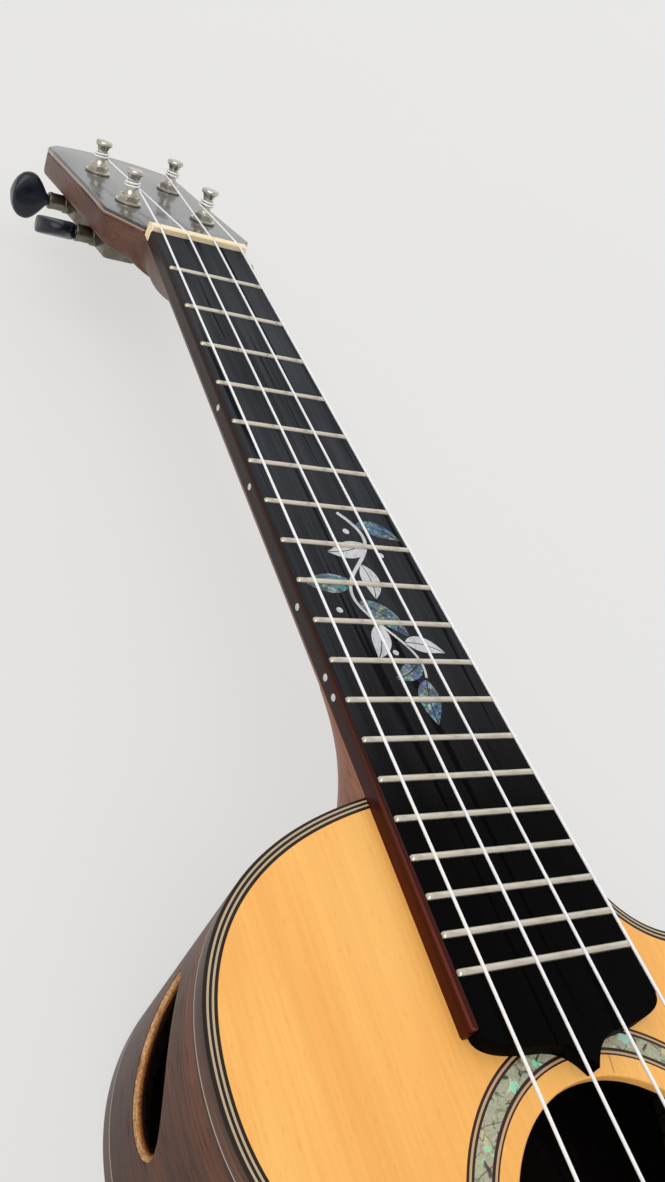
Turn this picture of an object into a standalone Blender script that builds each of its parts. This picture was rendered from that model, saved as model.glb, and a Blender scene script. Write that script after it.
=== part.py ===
# Tenor ukulele with a rounded cutaway, a sound port in its side and worm-geared tuners.
# It lies on its flat back. +Z leaves the soundboard, +Y runs to the headstock and +X is the
# treble side. The origin is the middle of the back. All lengths are in metres.

import math

import bmesh
import bpy
from mathutils import Matrix, Vector

# Fit between pieces that touch
FIT_GAP = 0.0003

# Scale and frets
SCALE_LENGTH = 0.4318
FRET_COUNT = 19
JOIN_FRET = 14
FRET_SPAN_NUT = 0.0363
FRET_SPAN_LAST = 0.0511
FRET_WIDTH = 0.0022
FRET_CROWN = 0.0009
FRET_TANG_WIDTH = 0.0006
FRET_TANG_DEPTH = 0.0016
FRET_END_BEVEL = 0.0006

# Fingerboard, its edge strips and the nut
BOARD_THICK = 0.0045
BOARD_EDGE_WIDTH = 0.0017
BOARD_EDGE_NUT_WIDTH = 0.0011
BOARD_EDGE_CHAMFER = 0.0008
BOARD_EDGE_OVERRUN = 0.0118
BOARD_END_LENGTH = 0.0126
NUT_LENGTH = 0.0050
NUT_ABOVE_STRING = 0.0004

# Body outline
BODY_LENGTH = 0.301
BODY_DEPTH = 0.062
UPPER_BOUT_WIDTH = 0.166
UPPER_BOUT_DROP = 0.0590
WAIST_WIDTH = 0.130
WAIST_DROP = 0.116
LOWER_BOUT_WIDTH = 0.226
LOWER_BOUT_DROP = 0.214
NECK_SEAT_WIDTH = 0.053
CUTAWAY_RUN = 0.0335
CUTAWAY_DROP = 0.0455
HORN_INSET = 0.0150
HORN_RISE = 0.0018
HORN_SIDE_DROP = 0.060

# Walls of the body
SIDE_THICK = 0.0018
SOUNDBOARD_THICK = 0.0025
BACK_THICK = 0.0025
EDGE_BAND_HEIGHT = 0.0050
LINING_WIDTH = 0.0060
LINING_HEIGHT = 0.0120
NECK_BLOCK_WIDTH = 0.048
NECK_BLOCK_LENGTH = 0.022
TAIL_BLOCK_WIDTH = 0.060
TAIL_BLOCK_LENGTH = 0.018
BRACE_WIDTH = 0.008
BRACE_HEIGHT = 0.010
BRACE_TIP_HEIGHT = 0.004
BRACE_TO_ROSETTE = 0.001
BACK_BRACE_DROP = 0.178

# Soundhole and rosette
SOUNDHOLE_RADIUS = 0.0330
SOUNDHOLE_TO_BOARD = 0.0003
ROSETTE_INNER_RADIUS = 0.0375
ROSETTE_OUTER_RADIUS = 0.0445
ROSETTE_DEPTH = 0.0010

# Sound port in the bass side
PORT_ALONG_SIDE = 0.0707
PORT_BELOW_TOP = 0.476 * BODY_DEPTH
PORT_LENGTH = 0.0372
PORT_HEIGHT = 0.0202
PORT_TILT = math.radians(26.5)
PORT_RING_WALL = 0.0014
PORT_RING_DEPTH = 0.0024

# Neck and heel
NECK_DEPTH_NUT = 0.0140
NECK_DEPTH_HEEL = 0.0155
HEEL_DEPTH = 0.0580
HEEL_RUN = 0.0400
HEEL_CURVE = 2.8
NECK_ROUND = 1.42

# Headstock
HEAD_TILT = math.radians(14.0)
HEAD_LENGTH = 0.1160
HEAD_CROWN = 0.0080
HEAD_KINK = 0.0160
HEAD_WIDTH_KINK = 0.0606
HEAD_WIDTH_MIDDLE = 0.0590
HEAD_WIDTH_TOP = 0.0592
HEAD_CORNER = 0.0045
HEAD_WOOD_THICK = 0.0105
HEADPLATE_THICK = 0.0024
VOLUTE_DEPTH = 0.0205

# Strings
STRING_RADIUS = 0.00035
STRING_SPREAD_NUT = 0.0322
STRING_SPREAD_SADDLE = 0.0486
STRING_OVER_NUT = 0.0017
STRING_OVER_BODY = 0.0101
STRING_TURNS = 2
STRING_TURN_RISE = 0.00115
KNOT_RADIUS = 0.0010

# Bridge and saddle
SADDLE_SETBACK = 0.0015
SADDLE_THICK = 0.0028
SADDLE_LENGTH = 0.0570
SADDLE_SOCKET_FLOOR = 0.0028
BRIDGE_LENGTH = 0.1000
BRIDGE_MIDDLE_LENGTH = 0.0640
BRIDGE_AHEAD = 0.0070
BRIDGE_BEHIND = 0.0160
BRIDGE_RIDGE_HEIGHT = 0.0065
BRIDGE_TIE_HEIGHT = 0.0075
BRIDGE_WING_HEIGHT = 0.0032
TIE_HOLE_HEIGHT = 0.0050

# Tuners. The post runs through the headstock, and a worm on the button's shaft turns its wheel.
POST_OUT = 0.0160
POST_NEAR_UP = 0.2802 * HEAD_LENGTH
POST_FAR_UP = 0.6466 * HEAD_LENGTH
POST_SHAFT_RADIUS = 0.0026
POST_WAIST_RADIUS = 0.0020
POST_CAP_RADIUS = 0.0034
POST_HEIGHT = 0.0130
STRING_ON_POST = 0.0061
SLEEVE_WALL = 0.0008
WASHER_RADIUS = 0.0052
WASHER_THICK = 0.0007
SLEEVE_NUT_RADIUS = 0.0043
SLEEVE_NUT_HEIGHT = 0.0022
WHEEL_TEETH = 14
WHEEL_RADIUS = 0.0048
WHEEL_WIDTH = 0.0030
WORM_RADIUS = 0.0022
WORM_BELOW_HEAD = 0.0041
WORM_TURNS = 2
TOOTH_ADDENDUM = 0.00055
TOOTH_DEDENDUM = 0.00080
WORM_SHAFT_RADIUS = 0.0015
HOUSING_WALL = 0.0009
HOUSING_DEPTH = 0.0080
COLLAR_RADIUS = 0.0037
COLLAR_END = 0.0155
BUTTON_LENGTH = 0.0150
BUTTON_WIDTH = 0.0190
BUTTON_THICK = 0.0068

# Derived levels and stations
NECK_TOP = BODY_DEPTH
BOARD_LOW = NECK_TOP + FIT_GAP
BOARD_TOP = BOARD_LOW + BOARD_THICK
BODY_TOP_Y = BODY_LENGTH / 2
STRING_NUT_Z = BOARD_TOP + STRING_OVER_NUT
STRING_SADDLE_Z = BODY_DEPTH + STRING_OVER_BODY


def fret_distance(number):
    # Equal temperament: each fret shortens the string by the twelfth root of two.
    return SCALE_LENGTH * (1.0 - 2.0 ** (-number / 12.0))


LAST_FRET_DISTANCE = fret_distance(FRET_COUNT)
EDGE_END_DISTANCE = LAST_FRET_DISTANCE + BOARD_EDGE_OVERRUN
BOARD_TIP_DISTANCE = EDGE_END_DISTANCE + BOARD_END_LENGTH
NUT_Y = BODY_TOP_Y + fret_distance(JOIN_FRET) + SADDLE_SETBACK
HOLE_Y = NUT_Y - BOARD_TIP_DISTANCE - SOUNDHOLE_TO_BOARD - SOUNDHOLE_RADIUS
SADDLE_Y = NUT_Y - SCALE_LENGTH - SADDLE_SETBACK
HEAD_ORIGIN = Vector((0.0, NUT_Y + NUT_LENGTH, NECK_TOP))
HEADPLATE_LOW = FIT_GAP
HEADPLATE_TOP = HEADPLATE_LOW + HEADPLATE_THICK
TOOTH_PITCH = 2.0 * math.pi * WHEEL_RADIUS / WHEEL_TEETH
WORM_OFFSET = WHEEL_RADIUS + WORM_RADIUS
WORM_LEVEL = -HEAD_WOOD_THICK - WORM_BELOW_HEAD
POST_BORE_RADIUS = POST_SHAFT_RADIUS + FIT_GAP
SLEEVE_RADIUS = POST_BORE_RADIUS + SLEEVE_WALL
SLEEVE_HOLE_RADIUS = SLEEVE_RADIUS + FIT_GAP
HOUSING_TOP = -HEAD_WOOD_THICK - FIT_GAP
STRING_NAMES = ["g", "c", "e", "a"]


def half_span(distance):
    # Half the length of a fret at a distance from the nut.
    share = distance / LAST_FRET_DISTANCE
    return 0.5 * (FRET_SPAN_NUT + (FRET_SPAN_LAST - FRET_SPAN_NUT) * share)


def edge_width(distance):
    # Width of the strip beside the board, which narrows towards the nut.
    share = distance / LAST_FRET_DISTANCE
    return BOARD_EDGE_NUT_WIDTH + (BOARD_EDGE_WIDTH - BOARD_EDGE_NUT_WIDTH) * share


def remove_all():
    for item in list(bpy.data.objects):
        bpy.data.objects.remove(item, do_unlink=True)


def make_material(name, color, roughness, metallic=0.0):
    material = bpy.data.materials.new(name)
    material.use_nodes = True
    shader = material.node_tree.nodes["Principled BSDF"]
    shader.inputs["Base Color"].default_value = (*color, 1.0)
    shader.inputs["Roughness"].default_value = roughness
    shader.inputs["Metallic"].default_value = metallic
    material.diffuse_color = (*color, 1.0)
    return material


def add_object(name, mesh_data, material=None, parent=None, location=(0.0, 0.0, 0.0)):
    mesh = bpy.data.meshes.new(name)
    bmesh.ops.recalc_face_normals(mesh_data, faces=mesh_data.faces)
    mesh_data.to_mesh(mesh)
    mesh_data.free()
    item = bpy.data.objects.new(name, mesh)
    bpy.context.scene.collection.objects.link(item)
    item.location = location
    item.parent = parent
    if material is not None:
        mesh.materials.append(material)
    return item


def smooth(item, degrees=35.0):
    item.data.shade_smooth()
    item.data.set_sharp_from_angle(angle=math.radians(degrees))
    return item


def as_guide(item):
    item.hide_render = True
    item.display_type = "WIRE"
    return item


def use_boolean(target, guide, operation):
    modifier = target.modifiers.new(operation.lower(), "BOOLEAN")
    modifier.operation = operation
    modifier.solver = "EXACT"
    modifier.object = as_guide(guide)


def bezier(start, first, second, end, count):
    # Points of a cubic curve, without its last one.
    points = []
    for step in range(count):
        t = step / count
        s = 1.0 - t
        weights = (s * s * s, 3 * s * s * t, 3 * s * t * t, t * t * t)
        x = sum(w * p[0] for w, p in zip(weights, (start, first, second, end)))
        y = sum(w * p[1] for w, p in zip(weights, (start, first, second, end)))
        points.append((x, y))
    return points


def offset_loop(loop, distance):
    # Moves each corner of a counter-clockwise loop inwards, so that every side moves by distance.
    moved = []
    count = len(loop)
    for index, point in enumerate(loop):
        here = Vector(point)
        before = (here - Vector(loop[index - 1])).normalized()
        after = (Vector(loop[(index + 1) % count]) - here).normalized()
        normal = Vector((-before.y - after.y, before.x + after.x)).normalized()
        reach = distance / max(0.5, normal.dot(Vector((-after.y, after.x))))
        moved.append(tuple(here + normal * reach))
    return moved


def side_curve(sign, half_upper):
    # The waist, lower bout and tail of one side, from the upper bout down.
    upper = (sign * half_upper, BODY_TOP_Y - UPPER_BOUT_DROP)
    waist = (sign * WAIST_WIDTH / 2, BODY_TOP_Y - WAIST_DROP)
    lower = (sign * LOWER_BOUT_WIDTH / 2, BODY_TOP_Y - LOWER_BOUT_DROP)
    tail = (0.0, -BODY_TOP_Y)
    return upper, waist, lower, tail


def body_outline():
    # Counter-clockwise from the bass corner of the neck seat. Each bout is a smooth curve that
    # runs along the body's length where it is widest or narrowest.
    seat = NECK_SEAT_WIDTH / 2
    half_upper = UPPER_BOUT_WIDTH / 2
    upper, waist, lower, tail = side_curve(-1.0, half_upper)
    corner = (-seat, BODY_TOP_Y)
    run = half_upper - seat
    shoulder = (corner[0] - 0.53 * run, BODY_TOP_Y - 0.110 * UPPER_BOUT_DROP)
    loop = bezier(corner, shoulder, (upper[0], upper[1] + 0.61 * UPPER_BOUT_DROP), upper, 14)
    gap = upper[1] - waist[1]
    above_waist = (waist[0], waist[1] + 0.42 * gap)
    loop += bezier(upper, (upper[0], upper[1] - 0.51 * gap), above_waist, waist, 9)
    gap = waist[1] - lower[1]
    below_waist = (waist[0], waist[1] - 0.42 * gap)
    loop += bezier(waist, below_waist, (lower[0], lower[1] + 0.50 * gap), lower, 11)
    gap = lower[1] - tail[1]
    loop += bezier(lower, (lower[0], lower[1] - 0.56 * gap), (0.56 * lower[0], tail[1]), tail, 12)
    mirrored = [(-x, y) for x, y in reversed(loop)]
    start = next(i for i, point in enumerate(mirrored) if point[1] > waist[1] - 1e-9)
    loop.append(tail)
    loop += mirrored[:start + 1]
    side = (half_upper, BODY_TOP_Y - HORN_SIDE_DROP)
    gap = side[1] - waist[1]
    right_waist = (-waist[0], waist[1])
    loop.pop()
    above_waist = (right_waist[0], waist[1] + 0.42 * gap)
    loop += bezier(right_waist, above_waist, (side[0], side[1] - 0.45 * gap), side, 9)
    floor_y = BODY_TOP_Y - CUTAWAY_DROP
    horn = (half_upper - HORN_INSET, floor_y + HORN_RISE)
    rise = horn[1] - side[1]
    loop += bezier(side, (side[0], side[1] + 0.55 * rise), (horn[0] + 0.55 * HORN_INSET, horn[1]), horn, 7)
    floor = (seat + CUTAWAY_RUN, floor_y)
    span = horn[0] - floor[0]
    loop += bezier(horn, (horn[0] - 0.4 * span, horn[1]), (floor[0] + 0.4 * span, floor[1]), floor, 3)
    top = (seat, BODY_TOP_Y)
    floor_end = (floor[0] - 0.78 * CUTAWAY_RUN, floor[1])
    loop += bezier(floor, floor_end, (seat, floor_y + 0.30 * CUTAWAY_DROP), top, 9)
    loop.append(top)
    return loop


OUTLINE = body_outline()


def width_at(loop, y):
    # The two crossings of a loop with the line at this height along the body.
    crossings = []
    for index, point in enumerate(loop):
        after = loop[(index + 1) % len(loop)]
        if (point[1] - y) * (after[1] - y) < 0.0:
            share = (y - point[1]) / (after[1] - point[1])
            crossings.append(point[0] + share * (after[0] - point[0]))
    return min(crossings), max(crossings)


def band(outer, inner, low, high):
    # A closed wall between two loops with the same number of points.
    data = bmesh.new()
    rings = []
    for loop, level in ((outer, low), (outer, high), (inner, high), (inner, low)):
        rings.append([data.verts.new((x, y, level)) for x, y in loop])
    count = len(outer)
    for index in range(4):
        ring = rings[index]
        after = rings[(index + 1) % 4]
        for k in range(count):
            m = (k + 1) % count
            data.faces.new((ring[k], ring[m], after[m], after[k]))
    return data


def prism(loop, low, high):
    data = bmesh.new()
    base = [data.verts.new((x, y, low)) for x, y in loop]
    top = [data.verts.new((x, y, high)) for x, y in loop]
    data.faces.new(base)
    data.faces.new(top)
    count = len(loop)
    for k in range(count):
        m = (k + 1) % count
        data.faces.new((base[k], base[m], top[m], top[k]))
    return data


def add_box(data, low, high):
    corners = [(x, y, z) for z in (low[2], high[2]) for y in (low[1], high[1]) for x in (low[0], high[0])]
    v = [data.verts.new(c) for c in corners]
    for face in ((0, 1, 3, 2), (4, 5, 7, 6), (0, 1, 5, 4), (2, 3, 7, 6), (0, 2, 6, 4), (1, 3, 7, 5)):
        data.faces.new([v[i] for i in face])
    return data


def box(low, high):
    return add_box(bmesh.new(), low, high)


def circle(center, radius, count):
    step = 2.0 * math.pi / count
    return [(center[0] + radius * math.cos(k * step), center[1] + radius * math.sin(k * step))
            for k in range(count)]


def rod(start, end, radius, count, end_radius=None):
    # A round bar between two points.
    data = bmesh.new()
    axis = Vector(end) - Vector(start)
    turn = Vector((0.0, 0.0, 1.0)).rotation_difference(axis)
    place = Matrix.Translation((Vector(start) + Vector(end)) / 2) @ turn.to_matrix().to_4x4()
    far = radius if end_radius is None else end_radius
    bmesh.ops.create_cone(data, cap_ends=True, cap_tris=False, segments=count, radius1=radius,
                          radius2=far, depth=axis.length, matrix=place)
    return data


def join_data(parts):
    # Puts several closed shapes that don't meet into one mesh, for cutters.
    whole = bmesh.new()
    for part in parts:
        scratch = bpy.data.meshes.new("scratch")
        bmesh.ops.recalc_face_normals(part, faces=part.faces)
        part.to_mesh(scratch)
        part.free()
        whole.from_mesh(scratch)
        bpy.data.meshes.remove(scratch)
    return whole


def turned(profile, count, closed):
    # Turns (radius, height) points about Z. A radius of 0 is a point on the axis.
    data = bmesh.new()
    rings = []
    for radius, height in profile:
        if radius == 0.0:
            rings.append([data.verts.new((0.0, 0.0, height))])
        else:
            rings.append([data.verts.new((x, y, height)) for x, y in circle((0.0, 0.0), radius, count)])
    pairs = list(zip(rings, rings[1:]))
    if closed:
        pairs.append((rings[-1], rings[0]))
    for ring, after in pairs:
        for k in range(count):
            m = (k + 1) % count
            if len(ring) == 1:
                data.faces.new((ring[0], after[m], after[k]))
            elif len(after) == 1:
                data.faces.new((ring[k], ring[m], after[0]))
            else:
                data.faces.new((ring[k], ring[m], after[m], after[k]))
    return data


def loft(sections):
    # A closed solid through rings of points with the same count, capped at both ends.
    data = bmesh.new()
    rings = [[data.verts.new(p) for p in section] for section in sections]
    count = len(rings[0])
    for ring, after in zip(rings, rings[1:]):
        for k in range(count):
            m = (k + 1) % count
            data.faces.new((ring[k], ring[m], after[m], after[k]))
    data.faces.new(rings[0])
    data.faces.new(rings[-1])
    return data


def make_sides(material):
    inner = offset_loop(OUTLINE, SIDE_THICK)
    low = EDGE_BAND_HEIGHT + FIT_GAP
    high = BODY_DEPTH - EDGE_BAND_HEIGHT - FIT_GAP
    sides = add_object("body_sides", band(OUTLINE, inner, low, high), material)
    use_boolean(sides, add_object("port_cutter", port_plug()), "DIFFERENCE")
    return smooth(sides)


def port_point(angle, half_length, half_height, depth):
    # A point of the port's oval, laid on the bass side and sunk by depth along its normal.
    along = half_length * math.cos(angle)
    up = half_height * math.sin(angle)
    run = PORT_ALONG_SIDE + along * math.cos(PORT_TILT) + up * math.sin(PORT_TILT)
    level = BODY_DEPTH - PORT_BELOW_TOP - along * math.sin(PORT_TILT) + up * math.cos(PORT_TILT)
    index = 0
    while True:
        here = Vector(OUTLINE[index])
        after = Vector(OUTLINE[index + 1])
        length = (after - here).length
        if run <= length:
            break
        run -= length
        index += 1
    near = Vector(offset_loop(OUTLINE, 1.0)[index]) - here
    far = Vector(offset_loop(OUTLINE, 1.0)[index + 1]) - after
    share = run / length
    spot = here.lerp(after, share) + near.lerp(far, share) * depth
    return (spot.x, spot.y, level)


def port_plug():
    data = bmesh.new()
    rings = []
    steps = 32
    for depth in (-0.002, SIDE_THICK + 0.002):
        ring = []
        for k in range(steps):
            angle = 2.0 * math.pi * k / steps
            spot = port_point(angle, PORT_LENGTH / 2 + FIT_GAP, PORT_HEIGHT / 2 + FIT_GAP, depth)
            ring.append(data.verts.new(spot))
        rings.append(ring)
    for k in range(steps):
        m = (k + 1) % steps
        data.faces.new((rings[0][k], rings[0][m], rings[1][m], rings[1][k]))
    for ring in rings:
        for k in range(steps // 2 - 1):
            m = steps - 1 - k
            data.faces.new((ring[k], ring[k + 1], ring[m - 1], ring[m]))
    return data


def make_port_ring(material):
    # The pale band that lines the port, flush with the side outside.
    data = bmesh.new()
    steps = 32
    rings = []
    wall = PORT_RING_WALL
    for shrink, depth in ((0.0, 0.0), (wall, 0.0), (wall, PORT_RING_DEPTH), (0.0, PORT_RING_DEPTH)):
        ring = []
        for k in range(steps):
            angle = 2.0 * math.pi * k / steps
            spot = port_point(angle, PORT_LENGTH / 2 - shrink, PORT_HEIGHT / 2 - shrink, depth)
            ring.append(data.verts.new(spot))
        rings.append(ring)
    for index in range(4):
        after = rings[(index + 1) % 4]
        for k in range(steps):
            m = (k + 1) % steps
            data.faces.new((rings[index][k], rings[index][m], after[m], after[k]))
    return smooth(add_object("port_ring", data, material))


def make_edge_bands(material):
    inner = offset_loop(OUTLINE, SIDE_THICK)
    low_band = band(OUTLINE, inner, 0.0, EDGE_BAND_HEIGHT)
    smooth(add_object("back_edge_band", low_band, material))
    high_band = band(OUTLINE, inner, BODY_DEPTH - EDGE_BAND_HEIGHT, BODY_DEPTH)
    smooth(add_object("top_edge_band", high_band, material))


def lining_levels(top):
    if top:
        high = BODY_DEPTH - SOUNDBOARD_THICK - FIT_GAP
        return high - LINING_HEIGHT, high
    low = BACK_THICK + FIT_GAP
    return low, low + LINING_HEIGHT


def lining_band(top, grow):
    # The lining strip's space, grown by a clearance on every face.
    low, high = lining_levels(top)
    outer = offset_loop(OUTLINE, SIDE_THICK + FIT_GAP - grow)
    inner = offset_loop(OUTLINE, SIDE_THICK + FIT_GAP + LINING_WIDTH + grow)
    return band(outer, inner, low - grow, high + grow)


def make_linings(material):
    smooth(add_object("top_lining", lining_band(True, 0.0), material))
    smooth(add_object("back_lining", lining_band(False, 0.0), material))


def make_blocks(material):
    # Each block stands behind the side and is notched for the two lining strips.
    low = BACK_THICK + FIT_GAP
    high = BODY_DEPTH - SOUNDBOARD_THICK - FIT_GAP
    inner = prism(offset_loop(OUTLINE, SIDE_THICK + FIT_GAP), -FIT_GAP, BODY_DEPTH + FIT_GAP)
    inside = add_object("inside_guide", inner)
    top_notch = add_object("top_notch_guide", lining_band(True, FIT_GAP))
    back_notch = add_object("back_notch_guide", lining_band(False, FIT_GAP))
    neck_low = BODY_TOP_Y - SIDE_THICK - FIT_GAP - NECK_BLOCK_LENGTH
    neck_half = NECK_BLOCK_WIDTH / 2
    neck_data = box((-neck_half, neck_low, low), (neck_half, BODY_TOP_Y, high))
    tail_high = -BODY_TOP_Y + SIDE_THICK + FIT_GAP + TAIL_BLOCK_LENGTH
    tail_half = TAIL_BLOCK_WIDTH / 2
    tail_data = box((-tail_half, -BODY_TOP_Y, low), (tail_half, tail_high, high))
    for name, data in (("neck_block", neck_data), ("tail_block", tail_data)):
        block = add_object(name, data, material)
        use_boolean(block, inside, "INTERSECT")
        use_boolean(block, top_notch, "DIFFERENCE")
        use_boolean(block, back_notch, "DIFFERENCE")


def make_soundboard(material):
    loop = offset_loop(OUTLINE, SIDE_THICK + FIT_GAP)
    board = add_object("soundboard", prism(loop, BODY_DEPTH - SOUNDBOARD_THICK, BODY_DEPTH), material)
    hole_low = BODY_DEPTH - 2 * SOUNDBOARD_THICK
    hole_high = BODY_DEPTH + SOUNDBOARD_THICK
    hole = rod((0.0, HOLE_Y, hole_low), (0.0, HOLE_Y, hole_high), SOUNDHOLE_RADIUS, 48)
    use_boolean(board, add_object("hole_cutter", hole), "DIFFERENCE")
    center = (0.0, HOLE_Y)
    outer = circle(center, ROSETTE_OUTER_RADIUS + FIT_GAP, 48)
    inner = circle(center, ROSETTE_INNER_RADIUS - FIT_GAP, 48)
    groove = band(outer, inner, BODY_DEPTH - ROSETTE_DEPTH - FIT_GAP, BODY_DEPTH + SOUNDBOARD_THICK)
    use_boolean(board, add_object("rosette_cutter", groove), "DIFFERENCE")
    return smooth(board)


def make_rosette(material):
    center = (0.0, HOLE_Y)
    outer = circle(center, ROSETTE_OUTER_RADIUS, 48)
    inner = circle(center, ROSETTE_INNER_RADIUS, 48)
    ring = band(outer, inner, BODY_DEPTH - ROSETTE_DEPTH, BODY_DEPTH)
    smooth(add_object("rosette", ring, material))


def make_back(material):
    loop = offset_loop(OUTLINE, SIDE_THICK + FIT_GAP)
    smooth(add_object("back_plate", prism(loop, 0.0, BACK_THICK), material))


def make_brace(name, y, low, high, tip, material):
    # A bar across the body between the linings, thinned towards its ends on its free side.
    clear = offset_loop(OUTLINE, SIDE_THICK + 2 * FIT_GAP + LINING_WIDTH)
    lefts, rights = zip(*[width_at(clear, y + side * BRACE_WIDTH / 2) for side in (-1.0, 1.0)])
    left = max(lefts)
    right = min(rights)
    thin = 0.18 * (right - left)
    glued, free = (high, low) if tip > 0 else (low, high)
    edge = glued - BRACE_TIP_HEIGHT if tip > 0 else glued + BRACE_TIP_HEIGHT
    profile = [(left, glued), (left, edge), (left + thin, free), (right - thin, free),
               (right, edge), (right, glued)]
    sections = []
    for side in (-1.0, 1.0):
        sections.append([(x, y + side * BRACE_WIDTH / 2, z) for x, z in profile])
    add_object(name, loft(sections), material)


def make_braces(material):
    high = BODY_DEPTH - SOUNDBOARD_THICK - FIT_GAP
    top_y = HOLE_Y + ROSETTE_OUTER_RADIUS + BRACE_TO_ROSETTE
    make_brace("top_brace", top_y, high - BRACE_HEIGHT, high, 1.0, material)
    low = BACK_THICK + FIT_GAP
    back_y = BODY_TOP_Y - BACK_BRACE_DROP
    make_brace("back_brace", back_y, low, low + BRACE_HEIGHT, -1.0, material)


def neck_half_width(distance):
    return half_span(distance) + edge_width(distance)


def round_section(half, depth, power):
    # Half a superellipse below a flat top edge: points (x, depth) for one ring.
    ring = [(-half, 0.0), (-0.5 * half, 0.0), (0.0, 0.0), (0.5 * half, 0.0), (half, 0.0)]
    for step in range(1, 12):
        angle = math.pi * step / 12
        x = half * math.copysign(abs(math.cos(angle)) ** (2.0 / power), math.cos(angle))
        ring.append((x, -depth * math.sin(angle) ** (2.0 / power)))
    return ring


def neck_sections():
    sections = []
    join_distance = NUT_Y - BODY_TOP_Y - FIT_GAP
    for share in (0.0, 0.05, 0.12, 0.22, 0.34, 0.48, 0.66, 0.86):
        distance = join_distance - share * HEEL_RUN
        swell = (1.0 - share) ** HEEL_CURVE
        depth = NECK_DEPTH_HEEL + (HEEL_DEPTH - NECK_DEPTH_HEEL) * swell
        ring = round_section(neck_half_width(distance), depth, NECK_ROUND + 0.42 * (1.0 - share))
        sections.append([(x, NUT_Y - distance, NECK_TOP + z) for x, z in ring])
    shaft = join_distance - HEEL_RUN
    first = fret_distance(1)
    steps = [(shaft, NECK_DEPTH_HEEL, 0.0),
             (0.5 * shaft, 0.5 * (NECK_DEPTH_NUT + NECK_DEPTH_HEEL), 0.0),
             (1.3 * first, NECK_DEPTH_NUT, 0.0),
             (0.7 * first, 0.75 * NECK_DEPTH_NUT + 0.25 * VOLUTE_DEPTH, 0.5),
             (0.25 * first, 0.15 * NECK_DEPTH_NUT + 0.85 * VOLUTE_DEPTH, 1.0)]
    for distance, depth, fullness in steps:
        ring = round_section(neck_half_width(distance), depth, NECK_ROUND + 0.48 * fullness)
        sections.append([(x, NUT_Y - distance, NECK_TOP + z) for x, z in ring])
    return sections


def head_width(up):
    # Half the headstock's width at a distance above the nut.
    knots = [(0.0, 2 * neck_half_width(0.0)), (HEAD_KINK, HEAD_WIDTH_KINK),
             (0.45 * HEAD_LENGTH, HEAD_WIDTH_MIDDLE), (HEAD_LENGTH, HEAD_WIDTH_TOP)]
    for low, high in zip(knots, knots[1:]):
        if up <= high[0]:
            share = (up - low[0]) / (high[0] - low[0])
            return 0.5 * (low[1] + (high[1] - low[1]) * share)
    return 0.5 * HEAD_WIDTH_TOP


def head_point(x, up, out):
    # From the headstock's own directions (across, along, out of its face) to the body's.
    y = HEAD_ORIGIN.y + up * math.cos(HEAD_TILT) + out * math.sin(HEAD_TILT)
    z = HEAD_ORIGIN.z - up * math.sin(HEAD_TILT) + out * math.cos(HEAD_TILT)
    return (x, y, z)


def head_end(x):
    # The crowned top edge.
    return HEAD_LENGTH - HEAD_CROWN * (2.0 * x / HEAD_WIDTH_TOP) ** 2


def head_sections():
    # Rings that lean over from the neck's direction to the headstock's, round the swelling of
    # the volute behind the nut.
    sections = []
    swell = VOLUTE_DEPTH - HEAD_WOOD_THICK
    steps = [(0.0, 0.0, HEAD_WOOD_THICK + swell, 1.9),
             (0.30, 0.5, HEAD_WOOD_THICK + 0.82 * swell, 2.2),
             (0.65, 0.9, HEAD_WOOD_THICK + 0.38 * swell, 3.6),
             (1.0, 1.0, HEAD_WOOD_THICK, 14.0)]
    for share, lean, depth, power in steps:
        up = share * HEAD_KINK
        ring = round_section(head_width(up), depth, power)
        tilt = lean * HEAD_TILT
        top = Vector(head_point(0.0, up, 0.0))
        down = Vector((0.0, math.sin(tilt), math.cos(tilt)))
        sections.append([tuple(Vector((x, top.y, top.z)) + down * z) for x, z in ring])
    for up in (0.45 * HEAD_LENGTH, head_end(head_width(HEAD_LENGTH)) - HEAD_CORNER):
        ring = round_section(head_width(up), HEAD_WOOD_THICK, 16.0)
        sections.append([head_point(x, up, z) for x, z in ring])
    ring = round_section(head_width(HEAD_LENGTH) - HEAD_CORNER, HEAD_WOOD_THICK, 16.0)
    sections.append([head_point(x, head_end(x), z) for x, z in ring])
    return sections


def post_places():
    # One place for each string: (across, along) on the headstock, and the string's side.
    return [(-POST_OUT, POST_NEAR_UP, -1.0), (-POST_OUT, POST_FAR_UP, -1.0),
            (POST_OUT, POST_FAR_UP, 1.0), (POST_OUT, POST_NEAR_UP, 1.0)]


def sleeve_holes():
    rods = []
    for x, up, side in post_places():
        low = head_point(x, up, -2 * HEAD_WOOD_THICK)
        high = head_point(x, up, 3 * HEADPLATE_TOP)
        rods.append(rod(low, high, SLEEVE_HOLE_RADIUS, 16))
    return add_object("sleeve_hole_cutter", join_data(rods))


def make_neck(material, holes):
    neck = add_object("neck", loft(neck_sections() + head_sections()), material)
    use_boolean(neck, holes, "DIFFERENCE")
    return smooth(neck, 40.0)


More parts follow.
